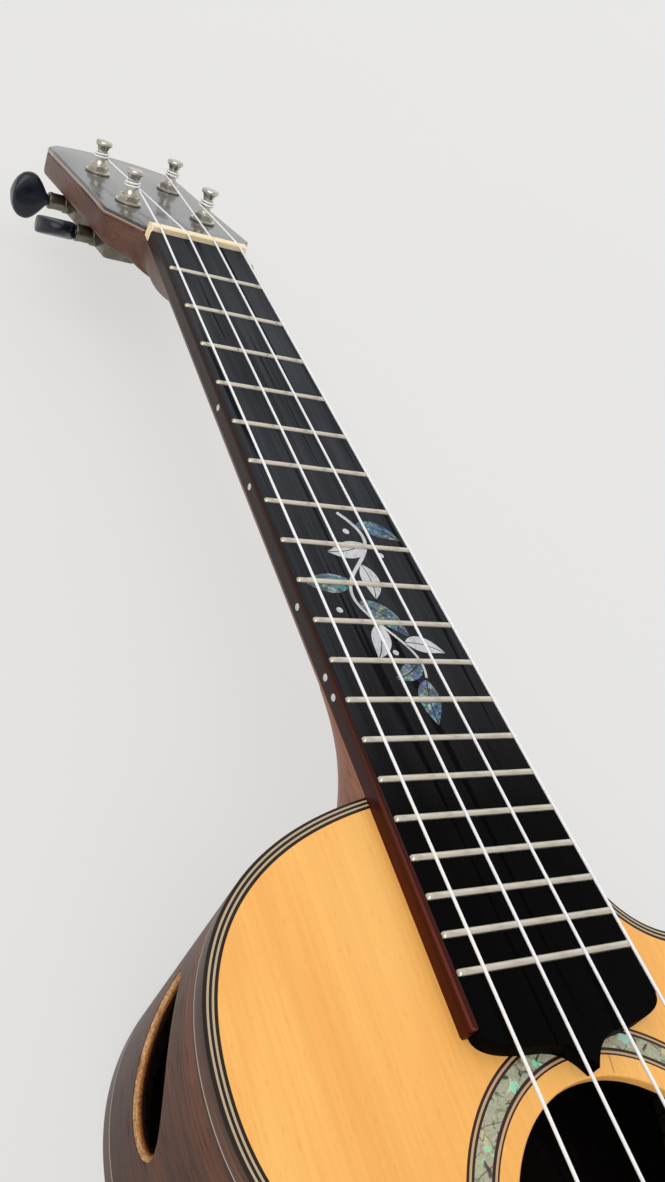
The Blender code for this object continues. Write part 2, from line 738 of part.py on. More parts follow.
def make_headplate(material, holes):
    # The dark veneer follows the headstock's outline. Its lower end stands upright behind the nut.
    left = [(-head_width(up), up) for up in (HEAD_KINK, 0.45 * HEAD_LENGTH)]
    corner = head_end(head_width(HEAD_LENGTH)) - HEAD_CORNER
    left.append((-head_width(corner), corner))
    edge = head_width(HEAD_LENGTH) - HEAD_CORNER
    crown = [(edge * s, head_end(edge * s)) for s in (-1.0, -0.5, 0.0, 0.5, 1.0)]
    right = [(-x, up) for x, up in reversed(left)]
    sections = []
    for level in (HEADPLATE_LOW, HEADPLATE_TOP):
        foot = FIT_GAP / math.cos(HEAD_TILT) - level * math.tan(HEAD_TILT)
        start = head_width(max(foot, 0.0))
        ring = [(-start, foot)] + left + crown + right + [(start, foot)]
        sections.append([head_point(x, up, level) for x, up in ring])
    plate = add_object("headplate", loft(sections), material)
    use_boolean(plate, holes, "DIFFERENCE")
    return plate


def board_loop():
    # Half outline of the fingerboard: straight edge, rounded shoulder and pointed end.
    end = half_span(EDGE_END_DISTANCE)
    length = BOARD_END_LENGTH
    shelf = (0.47 * end, EDGE_END_DISTANCE + 0.46 * length)
    right = [(half_span(FIT_GAP), FIT_GAP)]
    right += bezier((end, EDGE_END_DISTANCE), (end, EDGE_END_DISTANCE + 0.30 * length),
                    (0.75 * end, EDGE_END_DISTANCE + 0.41 * length), shelf, 7)
    right += bezier(shelf, (0.17 * end, EDGE_END_DISTANCE + 0.49 * length),
                    (0.09 * end, EDGE_END_DISTANCE + 0.72 * length), (0.0, BOARD_TIP_DISTANCE), 6)
    left = [(-x, d) for x, d in reversed(right)]
    return [(x, NUT_Y - d) for x, d in right + [(0.0, BOARD_TIP_DISTANCE)] + left]


def make_fingerboard(material):
    board = add_object("fingerboard", prism(board_loop(), BOARD_LOW, BOARD_TOP), material)
    slots = []
    half = FRET_TANG_WIDTH / 2 + FIT_GAP
    floor = BOARD_TOP - FRET_TANG_DEPTH - FIT_GAP
    for number in range(1, FRET_COUNT + 1):
        y = NUT_Y - fret_distance(number)
        low = (-FRET_SPAN_LAST, y - half, floor)
        slots.append(box(low, (FRET_SPAN_LAST, y + half, BOARD_TOP + FIT_GAP)))
    use_boolean(board, add_object("slot_cutter", join_data(slots)), "DIFFERENCE")
    return board


def make_frets(material):
    # A domed bead over a tang that stands in the board's slot, with bevelled ends.
    base = FIT_GAP
    crown = [(0.50, 0.0), (0.46, 0.50), (0.27, 0.88), (0.0, 1.0), (-0.27, 0.88), (-0.46, 0.50), (-0.50, 0.0)]
    tang = FRET_TANG_WIDTH / 2
    profile = [(-tang, -FRET_TANG_DEPTH), (tang, -FRET_TANG_DEPTH), (tang, base)]
    profile += [(FRET_WIDTH * y, base + FRET_CROWN * z) for y, z in crown]
    profile.append((-tang, base))
    for number in range(1, FRET_COUNT + 1):
        distance = fret_distance(number)
        half = half_span(distance)
        sections = []
        for side in (-1.0, 1.0):
            ring = []
            for y, z in profile:
                cut = FRET_END_BEVEL * max(0.0, z - base) / FRET_CROWN
                ring.append((side * (half - cut), y, z))
            sections.append(ring)
        name = "fret_%02d" % number
        smooth(add_object(name, loft(sections), material, None, (0.0, NUT_Y - distance, BOARD_TOP)), 50.0)


def make_board_edges(material):
    for name, side in (("board_edge_bass", -1.0), ("board_edge_treble", 1.0)):
        sections = []
        for distance in (FIT_GAP, EDGE_END_DISTANCE):
            inner = half_span(distance) + FIT_GAP
            outer = neck_half_width(distance)
            chamfer = BOARD_EDGE_CHAMFER * edge_width(distance) / BOARD_EDGE_WIDTH
            ring = [(inner, BOARD_LOW), (outer, BOARD_LOW), (outer, BOARD_TOP - chamfer),
                    (outer - chamfer, BOARD_TOP), (inner, BOARD_TOP)]
            sections.append([(side * x, NUT_Y - distance, z) for x, z in ring])
        add_object(name, loft(sections), material)


def string_share(index):
    # -0.5 for the bass string to 0.5 for the treble string.
    return index / (len(STRING_NAMES) - 1) - 0.5


def nut_drop():
    # How far a string falls from the nut's front edge to its back edge.
    return NUT_LENGTH * math.tan(0.75 * HEAD_TILT)


def make_nut(material):
    # The top falls away behind the front edge, and each string lies in its own slot.
    high = STRING_NUT_Z + NUT_ABOVE_STRING
    low = NECK_TOP + FIT_GAP
    length = NUT_LENGTH - FIT_GAP
    profile = [(0.0, low), (length, low), (length, high - 1.5 * nut_drop()),
               (0.7 * length, high - 0.45 * nut_drop()), (0.35 * length, high), (0.0, high)]
    half = neck_half_width(0.0)
    sections = [[(side * half, NUT_Y + y, z) for y, z in profile] for side in (-1.0, 1.0)]
    nut = add_object("nut", loft(sections), material)
    cutters = []
    clear = STRING_RADIUS + FIT_GAP
    for index in range(len(STRING_NAMES)):
        x = STRING_SPREAD_NUT * string_share(index)
        floor = STRING_NUT_Z - clear
        slot = [(-FIT_GAP, floor), (0.15 * NUT_LENGTH, floor - 0.15 * nut_drop()),
                (NUT_LENGTH + FIT_GAP, floor - 1.4 * nut_drop()),
                (NUT_LENGTH + FIT_GAP, high + FIT_GAP), (-FIT_GAP, high + FIT_GAP)]
        cutters.append(loft([[(x + side * clear, NUT_Y + y, z) for y, z in slot] for side in (-1.0, 1.0)]))
    use_boolean(nut, add_object("nut_slot_cutter", join_data(cutters)), "DIFFERENCE")
    return nut


def bridge_ring(x, half_width_share, wing):
    # One cross-section of the bridge: ridge for the saddle, valley and tie block, or a low wing.
    ahead = BRIDGE_AHEAD * half_width_share
    behind = BRIDGE_BEHIND * half_width_share
    base = BODY_DEPTH + FIT_GAP
    ridge = BRIDGE_RIDGE_HEIGHT
    tie = BRIDGE_TIE_HEIGHT
    valley = BRIDGE_WING_HEIGHT
    profile = [(ahead, 0.0), (ahead, 0.45 * valley), (0.62 * ahead, ridge), (-0.42 * ahead, ridge),
               (-0.62 * ahead, valley), (-0.42 * behind, valley), (-0.48 * behind, tie),
               (-0.94 * behind, tie), (-behind, 0.85 * tie), (-behind, 0.0)]
    if wing:
        flat = [0.0, 0.45 * valley] + [valley] * 5 + [0.85 * valley, 0.45 * valley, 0.0]
        profile = [(y, z) for (y, old), z in zip(profile, flat)]
    return [(x, SADDLE_Y + y, base + z) for y, z in profile]


def make_bridge(material):
    half = BRIDGE_LENGTH / 2
    middle = BRIDGE_MIDDLE_LENGTH / 2
    ramp = 0.15 * (half - middle)
    stations = [(half, 0.62, True), (half - ramp, 0.88, True), (middle + 2.2 * ramp, 1.0, True),
                (middle + ramp, 1.0, True), (middle, 1.0, False)]
    sections = [bridge_ring(x, share, wing) for x, share, wing in stations]
    sections += [bridge_ring(-x, share, wing) for x, share, wing in reversed(stations)]
    bridge = add_object("bridge", loft(sections), material)
    half_slot = SADDLE_THICK / 2 + FIT_GAP
    half_long = SADDLE_LENGTH / 2 + FIT_GAP
    floor = BODY_DEPTH + SADDLE_SOCKET_FLOOR
    slot = box((-half_long, SADDLE_Y - half_slot, floor), (half_long, SADDLE_Y + half_slot, STRING_SADDLE_Z))
    use_boolean(bridge, add_object("saddle_slot_cutter", slot), "DIFFERENCE")
    rods = []
    for index in range(len(STRING_NAMES)):
        x = STRING_SPREAD_SADDLE * string_share(index)
        level = BODY_DEPTH + TIE_HOLE_HEIGHT
        start = (x, SADDLE_Y - 0.40 * BRIDGE_BEHIND, level)
        end = (x, SADDLE_Y - 1.1 * BRIDGE_BEHIND, level)
        rods.append(rod(start, end, STRING_RADIUS + 1.5 * FIT_GAP, 8))
    use_boolean(bridge, add_object("tie_hole_cutter", join_data(rods)), "DIFFERENCE")
    return smooth(bridge, 30.0)


def saddle_fall():
    # Fall per length of a string between the saddle and the tie block.
    return (STRING_SADDLE_Z - BODY_DEPTH - TIE_HOLE_HEIGHT) / (0.42 * BRIDGE_BEHIND)


def make_saddle(material):
    # The crown slopes back as steeply as the strings that cross it.
    low = BODY_DEPTH + SADDLE_SOCKET_FLOOR + FIT_GAP
    high = STRING_SADDLE_Z - STRING_RADIUS - FIT_GAP
    half = SADDLE_THICK / 2
    fall = half * saddle_fall()
    ease = 0.12 * half
    profile = [(half, low), (half, high - 0.5 * half), (0.5 * half, high - ease), (0.0, high),
               (-0.5 * half, high - 0.5 * fall - ease), (-half, high - fall - ease), (-half, low)]
    sections = [[(side * SADDLE_LENGTH / 2, SADDLE_Y + y, z) for y, z in profile] for side in (-1.0, 1.0)]
    smooth(add_object("saddle", loft(sections), material))


def make_sleeve(name, material, parent, place):
    # Threaded sleeve with a washer and a hexagon on the headstock's face.
    bottom = -HEAD_WOOD_THICK + FIT_GAP
    washer = HEADPLATE_TOP + FIT_GAP
    nut = washer + WASHER_THICK
    top = nut + SLEEVE_NUT_HEIGHT
    bore = POST_BORE_RADIUS
    profile = [(bore, bottom), (SLEEVE_RADIUS, bottom), (SLEEVE_RADIUS, washer), (WASHER_RADIUS, washer),
               (WASHER_RADIUS, nut), (SLEEVE_NUT_RADIUS, nut), (SLEEVE_NUT_RADIUS, top),
               (bore + 0.4 * SLEEVE_WALL, top + 0.3 * SLEEVE_WALL), (bore, top + 0.3 * SLEEVE_WALL)]
    data = turned(profile, 12, True)
    flat = math.cos(math.pi / 6)
    for vert in data.verts:
        on_nut = nut - 1e-6 < vert.co.z < top + 1e-6
        radius = math.hypot(vert.co.x, vert.co.y)
        step = round(math.atan2(vert.co.y, vert.co.x) / (math.pi / 6))
        if on_nut and abs(radius - SLEEVE_NUT_RADIUS) < 1e-6 and step % 2:
            vert.co.x *= flat
            vert.co.y *= flat
    return smooth(add_object(name, data, material, parent, place))


def wheel_loop():
    # Outline of the worm wheel. A gap is centred on the worm's side, where a thread stands.
    loop = []
    step = 2.0 * math.pi / WHEEL_TEETH
    root = WHEEL_RADIUS - TOOTH_DEDENDUM
    tip = WHEEL_RADIUS + TOOTH_ADDENDUM
    for tooth in range(WHEEL_TEETH):
        middle = math.pi / 2 + (tooth + 0.5) * step
        for share, radius in ((-0.235, root), (-0.105, tip), (0.105, tip), (0.235, root)):
            angle = middle + share * step
            loop.append((radius * math.cos(angle), radius * math.sin(angle)))
    return loop


def make_post(name, material, parent, place):
    bottom = WORM_LEVEL - WHEEL_WIDTH
    neck = WORM_LEVEL + 0.75 * WHEEL_WIDTH
    face = HEADPLATE_TOP
    shoulder = face + 2 * FIT_GAP + WASHER_THICK + SLEEVE_NUT_HEIGHT
    waist_low = STRING_ON_POST - 2 * STRING_RADIUS
    waist_high = STRING_ON_POST + STRING_TURNS * STRING_TURN_RISE + 2 * STRING_RADIUS
    lean = 0.85 * POST_SHAFT_RADIUS
    profile = [(0.0, bottom), (lean, bottom), (lean, neck), (POST_SHAFT_RADIUS, neck + 0.0004),
               (POST_SHAFT_RADIUS, shoulder), (POST_WAIST_RADIUS, face + waist_low),
               (POST_WAIST_RADIUS, face + waist_high), (0.75 * POST_CAP_RADIUS, face + 0.82 * POST_HEIGHT),
               (POST_CAP_RADIUS, face + 0.88 * POST_HEIGHT), (POST_CAP_RADIUS, face + 0.95 * POST_HEIGHT),
               (0.82 * POST_CAP_RADIUS, face + POST_HEIGHT), (0.0, face + POST_HEIGHT)]
    post = add_object(name, turned(profile, 12, False), material, parent, place)
    low = WORM_LEVEL - WHEEL_WIDTH / 2
    wheel = add_object(name + "_wheel", prism(wheel_loop(), low, low + WHEEL_WIDTH), material, parent, place)
    use_boolean(post, wheel, "UNION")
    return smooth(post)


def make_housing(name, material, parent, place, side):
    # Box behind the headstock with a collar for the button's shaft, open inside for wheel and worm.
    room = WHEEL_RADIUS + TOOTH_ADDENDUM + 0.00055
    reach = WORM_OFFSET + WORM_RADIUS + TOOTH_ADDENDUM + 0.00045
    wall = HOUSING_WALL
    half = room + wall
    low = HOUSING_TOP - HOUSING_DEPTH
    cut = 2.2 * wall
    far = reach + wall
    loop = [(-half + cut, -half), (half - cut, -half), (half, -half + cut), (half, far - cut),
            (half - cut, far), (-half + cut, far), (-half, far - cut), (-half, -half + cut)]
    housing = add_object(name, prism(loop, low, HOUSING_TOP), material, parent, place)
    start = side * (half - 0.5 * wall)
    collar = rod((start, WORM_OFFSET, WORM_LEVEL), (side * COLLAR_END, WORM_OFFSET, WORM_LEVEL),
                 COLLAR_RADIUS, 12, 0.95 * COLLAR_RADIUS)
    use_boolean(housing, add_object(name + "_collar", collar, None, parent, place), "UNION")
    ceiling = HOUSING_TOP - 0.75 * wall
    cavity = box((-room, -room, low + wall), (room, reach, ceiling))
    use_boolean(housing, add_object(name + "_cavity", cavity, None, parent, place), "DIFFERENCE")
    bore = rod((-side * (half + wall), WORM_OFFSET, WORM_LEVEL),
               (side * (COLLAR_END + wall), WORM_OFFSET, WORM_LEVEL), WORM_SHAFT_RADIUS + FIT_GAP, 12)
    use_boolean(housing, add_object(name + "_bore", bore, None, parent, place), "DIFFERENCE")
    mouth = rod((0.0, 0.0, ceiling - wall), (0.0, 0.0, HOUSING_TOP + wall), POST_BORE_RADIUS, 12)
    use_boolean(housing, add_object(name + "_mouth", mouth, None, parent, place), "DIFFERENCE")
    return smooth(housing)


def ring_points(x, half_width, half_thick, power, count, angle):
    # A rounded cross-section square to the shaft, turned by angle about it.
    points = []
    for k in range(count):
        t = 2.0 * math.pi * k / count
        y = half_width * math.copysign(abs(math.cos(t)) ** (2.0 / power), math.cos(t))
        z = half_thick * math.copysign(abs(math.sin(t)) ** (2.0 / power), math.sin(t))
        across = y * math.cos(angle) - z * math.sin(angle)
        points.append((x, across, y * math.sin(angle) + z * math.cos(angle)))
    return points


def worm_rows(data, count):
    # Rows that follow the thread: root, root, crest, crest. Row k starts where row k - 4 ends.
    root = WORM_RADIUS - TOOTH_DEDENDUM
    crest = WORM_RADIUS + TOOTH_ADDENDUM
    pattern = [(0.27, root), (0.73, root), (0.895, crest), (1.105, crest)]
    total = 4 * WORM_TURNS
    length = WORM_TURNS + 1
    rows = {}
    for k in range(total + 5):
        share, radius = pattern[k % 4]
        for j in range(count if k <= total else 1):
            turn = 2.0 * math.pi * j / count
            x = (k // 4 + share + j / count - length / 2.0) * TOOTH_PITCH
            rows[(k, j)] = data.verts.new((x, radius * math.cos(turn), radius * math.sin(turn)))
    return rows, total


def worm_faces(data, rows, total, count, before, after):
    # Joins the thread to the plain rings before and after it, with blunt thread ends.
    def at(k, j):
        return rows[(k, j)] if j < count else rows[(k + 4, 0)]

    for k in range(total):
        for j in range(count):
            data.faces.new((at(k, j), at(k + 1, j), at(k + 1, j + 1), at(k, j + 1)))
    last = count - 1
    for j in range(last):
        data.faces.new((before[j], at(0, j), at(0, j + 1), before[j + 1]))
        if j > 0:
            data.faces.new((at(total, j), after[j], after[j + 1], at(total, j + 1)))
    edge = before[last]
    data.faces.new((edge, at(0, last), at(4, 0)))
    data.faces.new((edge, at(4, 0), at(1, 0)))
    data.faces.new((edge, at(1, 0), at(0, 0)))
    data.faces.new((edge, at(0, 0), before[0]))
    data.faces.new((at(1, 0), at(4, 0), at(3, 0), at(2, 0)))
    edge = after[1]
    data.faces.new((at(total, 0), edge, at(total, 1)))
    data.faces.new((at(total, 0), at(total + 1, 0), edge))
    data.faces.new((at(total + 1, 0), at(total + 4, 0), edge))
    data.faces.new((at(total + 4, 0), after[0], edge))
    data.faces.new((at(total + 1, 0), at(total + 2, 0), at(total + 3, 0), at(total + 4, 0)))
    data.faces.new((at(total, last), after[last], after[0], at(total + 4, 0)))


def make_button(name, material, parent, place, side, angle):
    # The shaft with its worm, and the oval knob on its outer end. Mirrored for the bass side.
    data = bmesh.new()
    count = 12
    shaft = WORM_SHAFT_RADIUS
    root = WORM_RADIUS - TOOTH_DEDENDUM
    half = WHEEL_RADIUS + TOOTH_ADDENDUM + 0.00055 + HOUSING_WALL
    rows, total = worm_rows(data, count)
    start = rows[(0, 0)].co.x - 0.0002
    stop = rows[(total + 4, 0)].co.x + 0.0002
    inner = [(-half, shaft), (start - 0.0003, shaft), (start, root)]
    before = [[data.verts.new(p) for p in ring_points(x, r, r, 2.0, count, 0.0)] for x, r in inner]
    base = COLLAR_END + FIT_GAP
    outer = [(stop, root), (stop + 0.0003, shaft), (base, shaft)]
    after = [[data.verts.new(p) for p in ring_points(x, r, r, 2.0, count, 0.0)] for x, r in outer]
    worm_faces(data, rows, total, count, before[-1], after[0])
    shape = [(0.0, 0.22, 0.80), (0.06, 0.28, 0.95), (0.16, 0.50, 1.0), (0.28, 0.75, 1.0),
             (0.40, 0.92, 1.0), (0.52, 1.0, 1.0), (0.64, 0.985, 1.0), (0.76, 0.91, 1.0),
             (0.87, 0.74, 0.98), (0.95, 0.50, 0.93), (0.995, 0.14, 0.78)]
    for share, wide, thick in shape:
        ring = ring_points(base + share * BUTTON_LENGTH, wide * BUTTON_WIDTH / 2,
                           thick * BUTTON_THICK / 2, 2.7, count, angle)
        after.append([data.verts.new(p) for p in ring])
    tip = data.verts.new((base + BUTTON_LENGTH, 0.0, 0.0))
    for group in (before, after):
        for ring, other in zip(group, group[1:]):
            for k in range(count):
                m = (k + 1) % count
                data.faces.new((ring[k], ring[m], other[m], other[k]))
    data.faces.new(before[0])
    for k in range(count):
        data.faces.new((after[-1][k], after[-1][(k + 1) % count], tip))
    if side < 0.0:
        bmesh.ops.scale(data, vec=(-1.0, 1.0, 1.0), verts=data.verts)
    x, up, out = place
    return smooth(add_object(name, data, material, parent, (x, up + WORM_OFFSET, out + WORM_LEVEL)))


def make_tuners(metal, knob):
    # Everything on the headstock hangs on one empty that carries its tilt.
    frame = bpy.data.objects.new("headstock_frame", None)
    bpy.context.scene.collection.objects.link(frame)
    frame.location = HEAD_ORIGIN
    frame.rotation_euler = (-HEAD_TILT, 0.0, 0.0)
    angles = [math.radians(a) for a in (-14.0, 88.0, 68.0, -12.0)]
    for letter, (x, up, side), angle in zip(STRING_NAMES, post_places(), angles):
        place = (x, up, 0.0)
        make_sleeve("tuner_sleeve_" + letter, metal, frame, place)
        make_post("tuner_post_" + letter, metal, frame, place)
        make_housing("tuner_housing_" + letter, metal, frame, place, side)
        make_button("tuner_button_" + letter, knob, frame, place, side, angle)


def string_route(index):
    # (point, thickness share) along one string: knot, tie hole, saddle, nut and post.
    x = STRING_SPREAD_SADDLE * string_share(index)
    rear = SADDLE_Y - BRIDGE_BEHIND
    level = BODY_DEPTH + TIE_HOLE_HEIGHT
    knot = KNOT_RADIUS / STRING_RADIUS
    points = []
    for back, share in ((2.6, 0.4), (2.3, 0.85), (1.7, 1.0), (1.1, 0.85), (0.75, 0.4)):
        width = max(1.0, knot * share)
        points.append(((x, rear - FIT_GAP - back * KNOT_RADIUS, level), width))
    points.append(((x, rear - FIT_GAP, level), 1.0))
    points.append(((x, SADDLE_Y - 0.42 * BRIDGE_BEHIND, level), 1.0))
    points.append(((x, SADDLE_Y, STRING_SADDLE_Z), 1.0))
    x = STRING_SPREAD_NUT * string_share(index)
    points.append(((x, NUT_Y, STRING_NUT_Z), 1.0))
    drop = NUT_LENGTH * post_slope(index)
    points.append(((x, NUT_Y + NUT_LENGTH, STRING_NUT_Z - drop), 1.0))
    post_x, post_up, side = post_places()[index]
    radius = POST_WAIST_RADIUS + FIT_GAP + STRING_RADIUS
    start = Vector((x, 0.0))
    center = Vector((post_x, post_up))
    reach = center - start
    lean = math.asin(radius / reach.length)
    direction = math.atan2(reach.y, reach.x) + side * lean
    first = direction + side * math.pi / 2
    loops = 24 * STRING_TURNS
    for k in range(loops + 1):
        turn = first - side * 2.0 * math.pi * k / 24
        out = HEADPLATE_TOP + STRING_ON_POST + STRING_TURN_RISE * k / 24
        spot = (post_x + radius * math.cos(turn), post_up + radius * math.sin(turn), out)
        points.append((head_point(*spot), 1.0))
    return points


def post_slope(index):
    # Fall per length of the stretch between the nut and the post.
    post_x, post_up, side = post_places()[index]
    end = Vector(head_point(post_x, post_up, HEADPLATE_TOP + STRING_ON_POST))
    return (STRING_NUT_Z - end.z) / (end.y - NUT_Y)


def coil_gap(points):
    # Least distance between the surfaces of two turns, from points on the centre line.
    coil = [Vector(p) for p, width in points[-(24 * STRING_TURNS + 1):]]
    least = 1.0
    for a in range(len(coil)):
        for b in range(a + 12, len(coil)):
            least = min(least, (coil[a] - coil[b]).length)
    return least - 2 * STRING_RADIUS


def make_strings(material):
    # Each string is one tube, tied behind the bridge and wound on its post.
    for index, letter in enumerate(STRING_NAMES):
        points = string_route(index)
        curve = bpy.data.curves.new("string_" + letter, "CURVE")
        curve.dimensions = "3D"
        curve.bevel_depth = STRING_RADIUS
        curve.bevel_resolution = 1
        curve.use_fill_caps = True
        spline = curve.splines.new("POLY")
        spline.points.add(len(points) - 1)
        for spot, (place, width) in zip(spline.points, points):
            spot.co = (*place, 1.0)
            spot.radius = width
        curve.materials.append(material)
        string = bpy.data.objects.new("string_" + letter, curve)
        bpy.context.scene.collection.objects.link(string)
        print("string", letter, "turn gap %.2f mm" % (1000 * coil_gap(points)))


def build():
    remove_all()
    honey_spruce = make_material("honey_spruce", (0.83, 0.47, 0.18), 0.35)
    rosewood = make_material("rosewood", (0.10, 0.065, 0.055), 0.35)
    edge_wood = make_material("edge_rosewood", (0.075, 0.05, 0.045), 0.35)
    lining_wood = make_material("lining_wood", (0.55, 0.33, 0.16), 0.6)
    port_wood = make_material("port_wood", (0.62, 0.36, 0.15), 0.45)
    neck_wood = make_material("neck_mahogany", (0.21, 0.085, 0.05), 0.4)
    plate_gloss = make_material("headplate_gloss", (0.12, 0.12, 0.13), 0.12)
    ebony = make_material("ebony", (0.012, 0.011, 0.012), 0.4)
    strip_wood = make_material("board_edge_wood", (0.13, 0.045, 0.03), 0.3)
    bone = make_material("bone", (0.86, 0.80, 0.66), 0.45)
    fret_metal = make_material("fret_metal", (0.66, 0.62, 0.54), 0.3, 1.0)
    shell = make_material("shell", (0.55, 0.60, 0.45), 0.2)
    nickel = make_material("nickel", (0.72, 0.70, 0.66), 0.2, 1.0)
    knob_black = make_material("knob_black", (0.02, 0.025, 0.035), 0.1)
    string_white = make_material("string_white", (0.85, 0.85, 0.85), 0.3)
    make_sides(rosewood)
    make_port_ring(port_wood)
    make_edge_bands(edge_wood)
    make_linings(lining_wood)
    make_blocks(lining_wood)
    make_soundboard(honey_spruce)
    make_rosette(shell)
    make_back(rosewood)
    make_braces(lining_wood)
    holes = sleeve_holes()
    make_neck(neck_wood, holes)
    make_headplate(plate_gloss, holes)
    make_fingerboard(ebony)
    make_frets(fret_metal)
    make_board_edges(strip_wood)
    make_nut(bone)
    make_bridge(rosewood)
    make_saddle(bone)
    make_tuners(nickel, knob_black)
    make_strings(string_white)


build()
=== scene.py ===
import math

import bmesh
import bpy
import numpy as np
from mathutils import Matrix, Vector


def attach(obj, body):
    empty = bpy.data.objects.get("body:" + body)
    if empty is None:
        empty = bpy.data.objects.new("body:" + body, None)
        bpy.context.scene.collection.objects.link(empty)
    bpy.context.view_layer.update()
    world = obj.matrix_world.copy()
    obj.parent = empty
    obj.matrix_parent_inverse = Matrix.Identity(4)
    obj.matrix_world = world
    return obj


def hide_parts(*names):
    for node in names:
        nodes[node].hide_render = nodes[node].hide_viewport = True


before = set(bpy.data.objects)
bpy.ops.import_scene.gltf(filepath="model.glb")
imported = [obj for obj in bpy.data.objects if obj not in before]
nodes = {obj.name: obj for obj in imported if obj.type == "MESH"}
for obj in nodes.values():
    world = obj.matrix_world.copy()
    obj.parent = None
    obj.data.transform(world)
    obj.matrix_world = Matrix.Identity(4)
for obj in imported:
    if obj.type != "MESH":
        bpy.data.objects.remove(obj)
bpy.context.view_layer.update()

# The ukulele lies on its back: +Z leaves the top, +Y runs to the headstock, +X is the cutaway's side.
# Every number below is in metres unless its name says otherwise.

body = "instrument"

build = {
    "scale": 0.4318, "fretCount": 19, "joinFret": 14, "saddleSetback": 0.0015,
    "bodyLength": 0.301, "bodyDepth": 0.062, "fitGap": 0.0003,
    "fretSpanNut": 0.0363, "fretSpanLast": 0.0511, "boardThick": 0.0045,
    "boardEdgeOverrun": 0.0118, "boardEndLength": 0.0126, "soundholeRadius": 0.0330,
    "headTilt": math.radians(14.0), "nutLength": 0.0050}


def fretDistance(number):
    return build["scale"] * (1.0 - 2.0 ** (-np.asarray(number, float) / 12.0))


topZ = build["bodyDepth"]
neckEndY = build["bodyLength"] / 2
nutY = neckEndY + fretDistance(build["joinFret"]) + build["saddleSetback"]
lastFret = fretDistance(build["fretCount"])
boardLow = topZ
boardTop = topZ + build["fitGap"] + build["boardThick"]
edgeEnd = lastFret + build["boardEdgeOverrun"]
boardTip = edgeEnd + build["boardEndLength"]
holeY = nutY - boardTip - build["fitGap"] - build["soundholeRadius"]
saddleY = nutY - build["scale"] - build["saddleSetback"]
headOrigin = np.array([0.0, nutY + build["nutLength"], topZ])


# node helpers


def addNode(tree, kind, inputs=None, **settings):
    node = tree.nodes.new("ShaderNode" + kind)
    for key, value in settings.items():
        setattr(node, key, value)
    for key, value in (inputs or {}).items():
        setInput(tree, node.inputs[key], value)
    return node


def setInput(tree, socket, value):
    if isinstance(value, bpy.types.NodeSocket):
        tree.links.new(value, socket)
    else:
        socket.default_value = value


def maths(tree, operation, first, second=0.0):
    return addNode(tree, "Math", {0: first, 1: second}, operation=operation).outputs[0]


def mixColor(tree, factor, first, second, blend="MIX"):
    node = addNode(tree, "Mix", data_type="RGBA", blend_type=blend)
    for index, value in ((0, factor), (6, first), (7, second)):
        if isinstance(value, tuple):
            value = (*value, 1.0)
        setInput(tree, node.inputs[index], value)
    return node.outputs[2]


def ramp(tree, factor, stops, interpolation="LINEAR"):
    node = addNode(tree, "ValToRGB", {"Fac": factor})
    node.color_ramp.interpolation = interpolation
    elements = node.color_ramp.elements
    while len(elements) < len(stops):
        elements.new(0.5)
    for element, (position, color) in zip(elements, stops):
        element.position = position
        element.color = (*color, 1.0)
    return node.outputs["Color"]


def levels(tree, value, low, high, newLow=0.0, newHigh=1.0):
    inputs = {"Value": value, "From Min": low, "From Max": high, "To Min": newLow, "To Max": newHigh}
    return addNode(tree, "MapRange", inputs).outputs["Result"]


def place(tree, vector, scale=(1.0, 1.0, 1.0), location=(0.0, 0.0, 0.0), rotation=(0.0, 0.0, 0.0)):
    inputs = {"Vector": vector, "Location": location, "Rotation": rotation, "Scale": scale}
    return addNode(tree, "Mapping", inputs).outputs[0]


def noise(tree, vector, scale, detail=2.0, roughness=0.5, distortion=0.0):
    inputs = {"Vector": vector, "Scale": scale, "Detail": detail, "Roughness": roughness,
              "Distortion": distortion}
    return addNode(tree, "TexNoise", inputs).outputs["Fac"]


def srgb(red, green, blue):
    # 0..255 screen values to linear light
    values = np.array([red, green, blue]) / 255.0
    linear = np.where(values <= 0.04045, values / 12.92, ((values + 0.055) / 1.055) ** 2.4)
    return tuple(float(v) for v in linear)


def screenRamp(tree, factor, stops, interpolation="LINEAR"):
    # stops: (place, red, green, blue), with 0..255 screen values
    return ramp(tree, factor, [(stop[0], srgb(*stop[1:])) for stop in stops], interpolation)


def startMaterial(name, settings):
    material = bpy.data.materials.new(name)
    material.use_nodes = True
    shader = material.node_tree.nodes["Principled BSDF"]
    for key, value in settings.items():
        shader.inputs[key].default_value = value
    return material, material.node_tree, shader


def bump(tree, height, distance):
    inputs = {"Height": height, "Distance": distance, "Strength": 1.0}
    return addNode(tree, "Bump", inputs).outputs["Normal"]


def dress(tree, shader, color, rough=None, normal=None):
    for key, value in (("Base Color", color), ("Roughness", rough), ("Normal", normal)):
        if value is not None:
            setInput(tree, shader.inputs[key], value)


def coordinates(tree, source="object"):
    # "object" reads metres in the frame; "uv" reads (across, along) in metres on the piece.
    return addNode(tree, "TexCoord").outputs["UV" if source == "uv" else "Object"]


def axis(tree, index, source="object"):
    return addNode(tree, "SeparateXYZ", {0: coordinates(tree, source)}).outputs[index]


print("frame loaded:", len(nodes), "nodes")


# wood

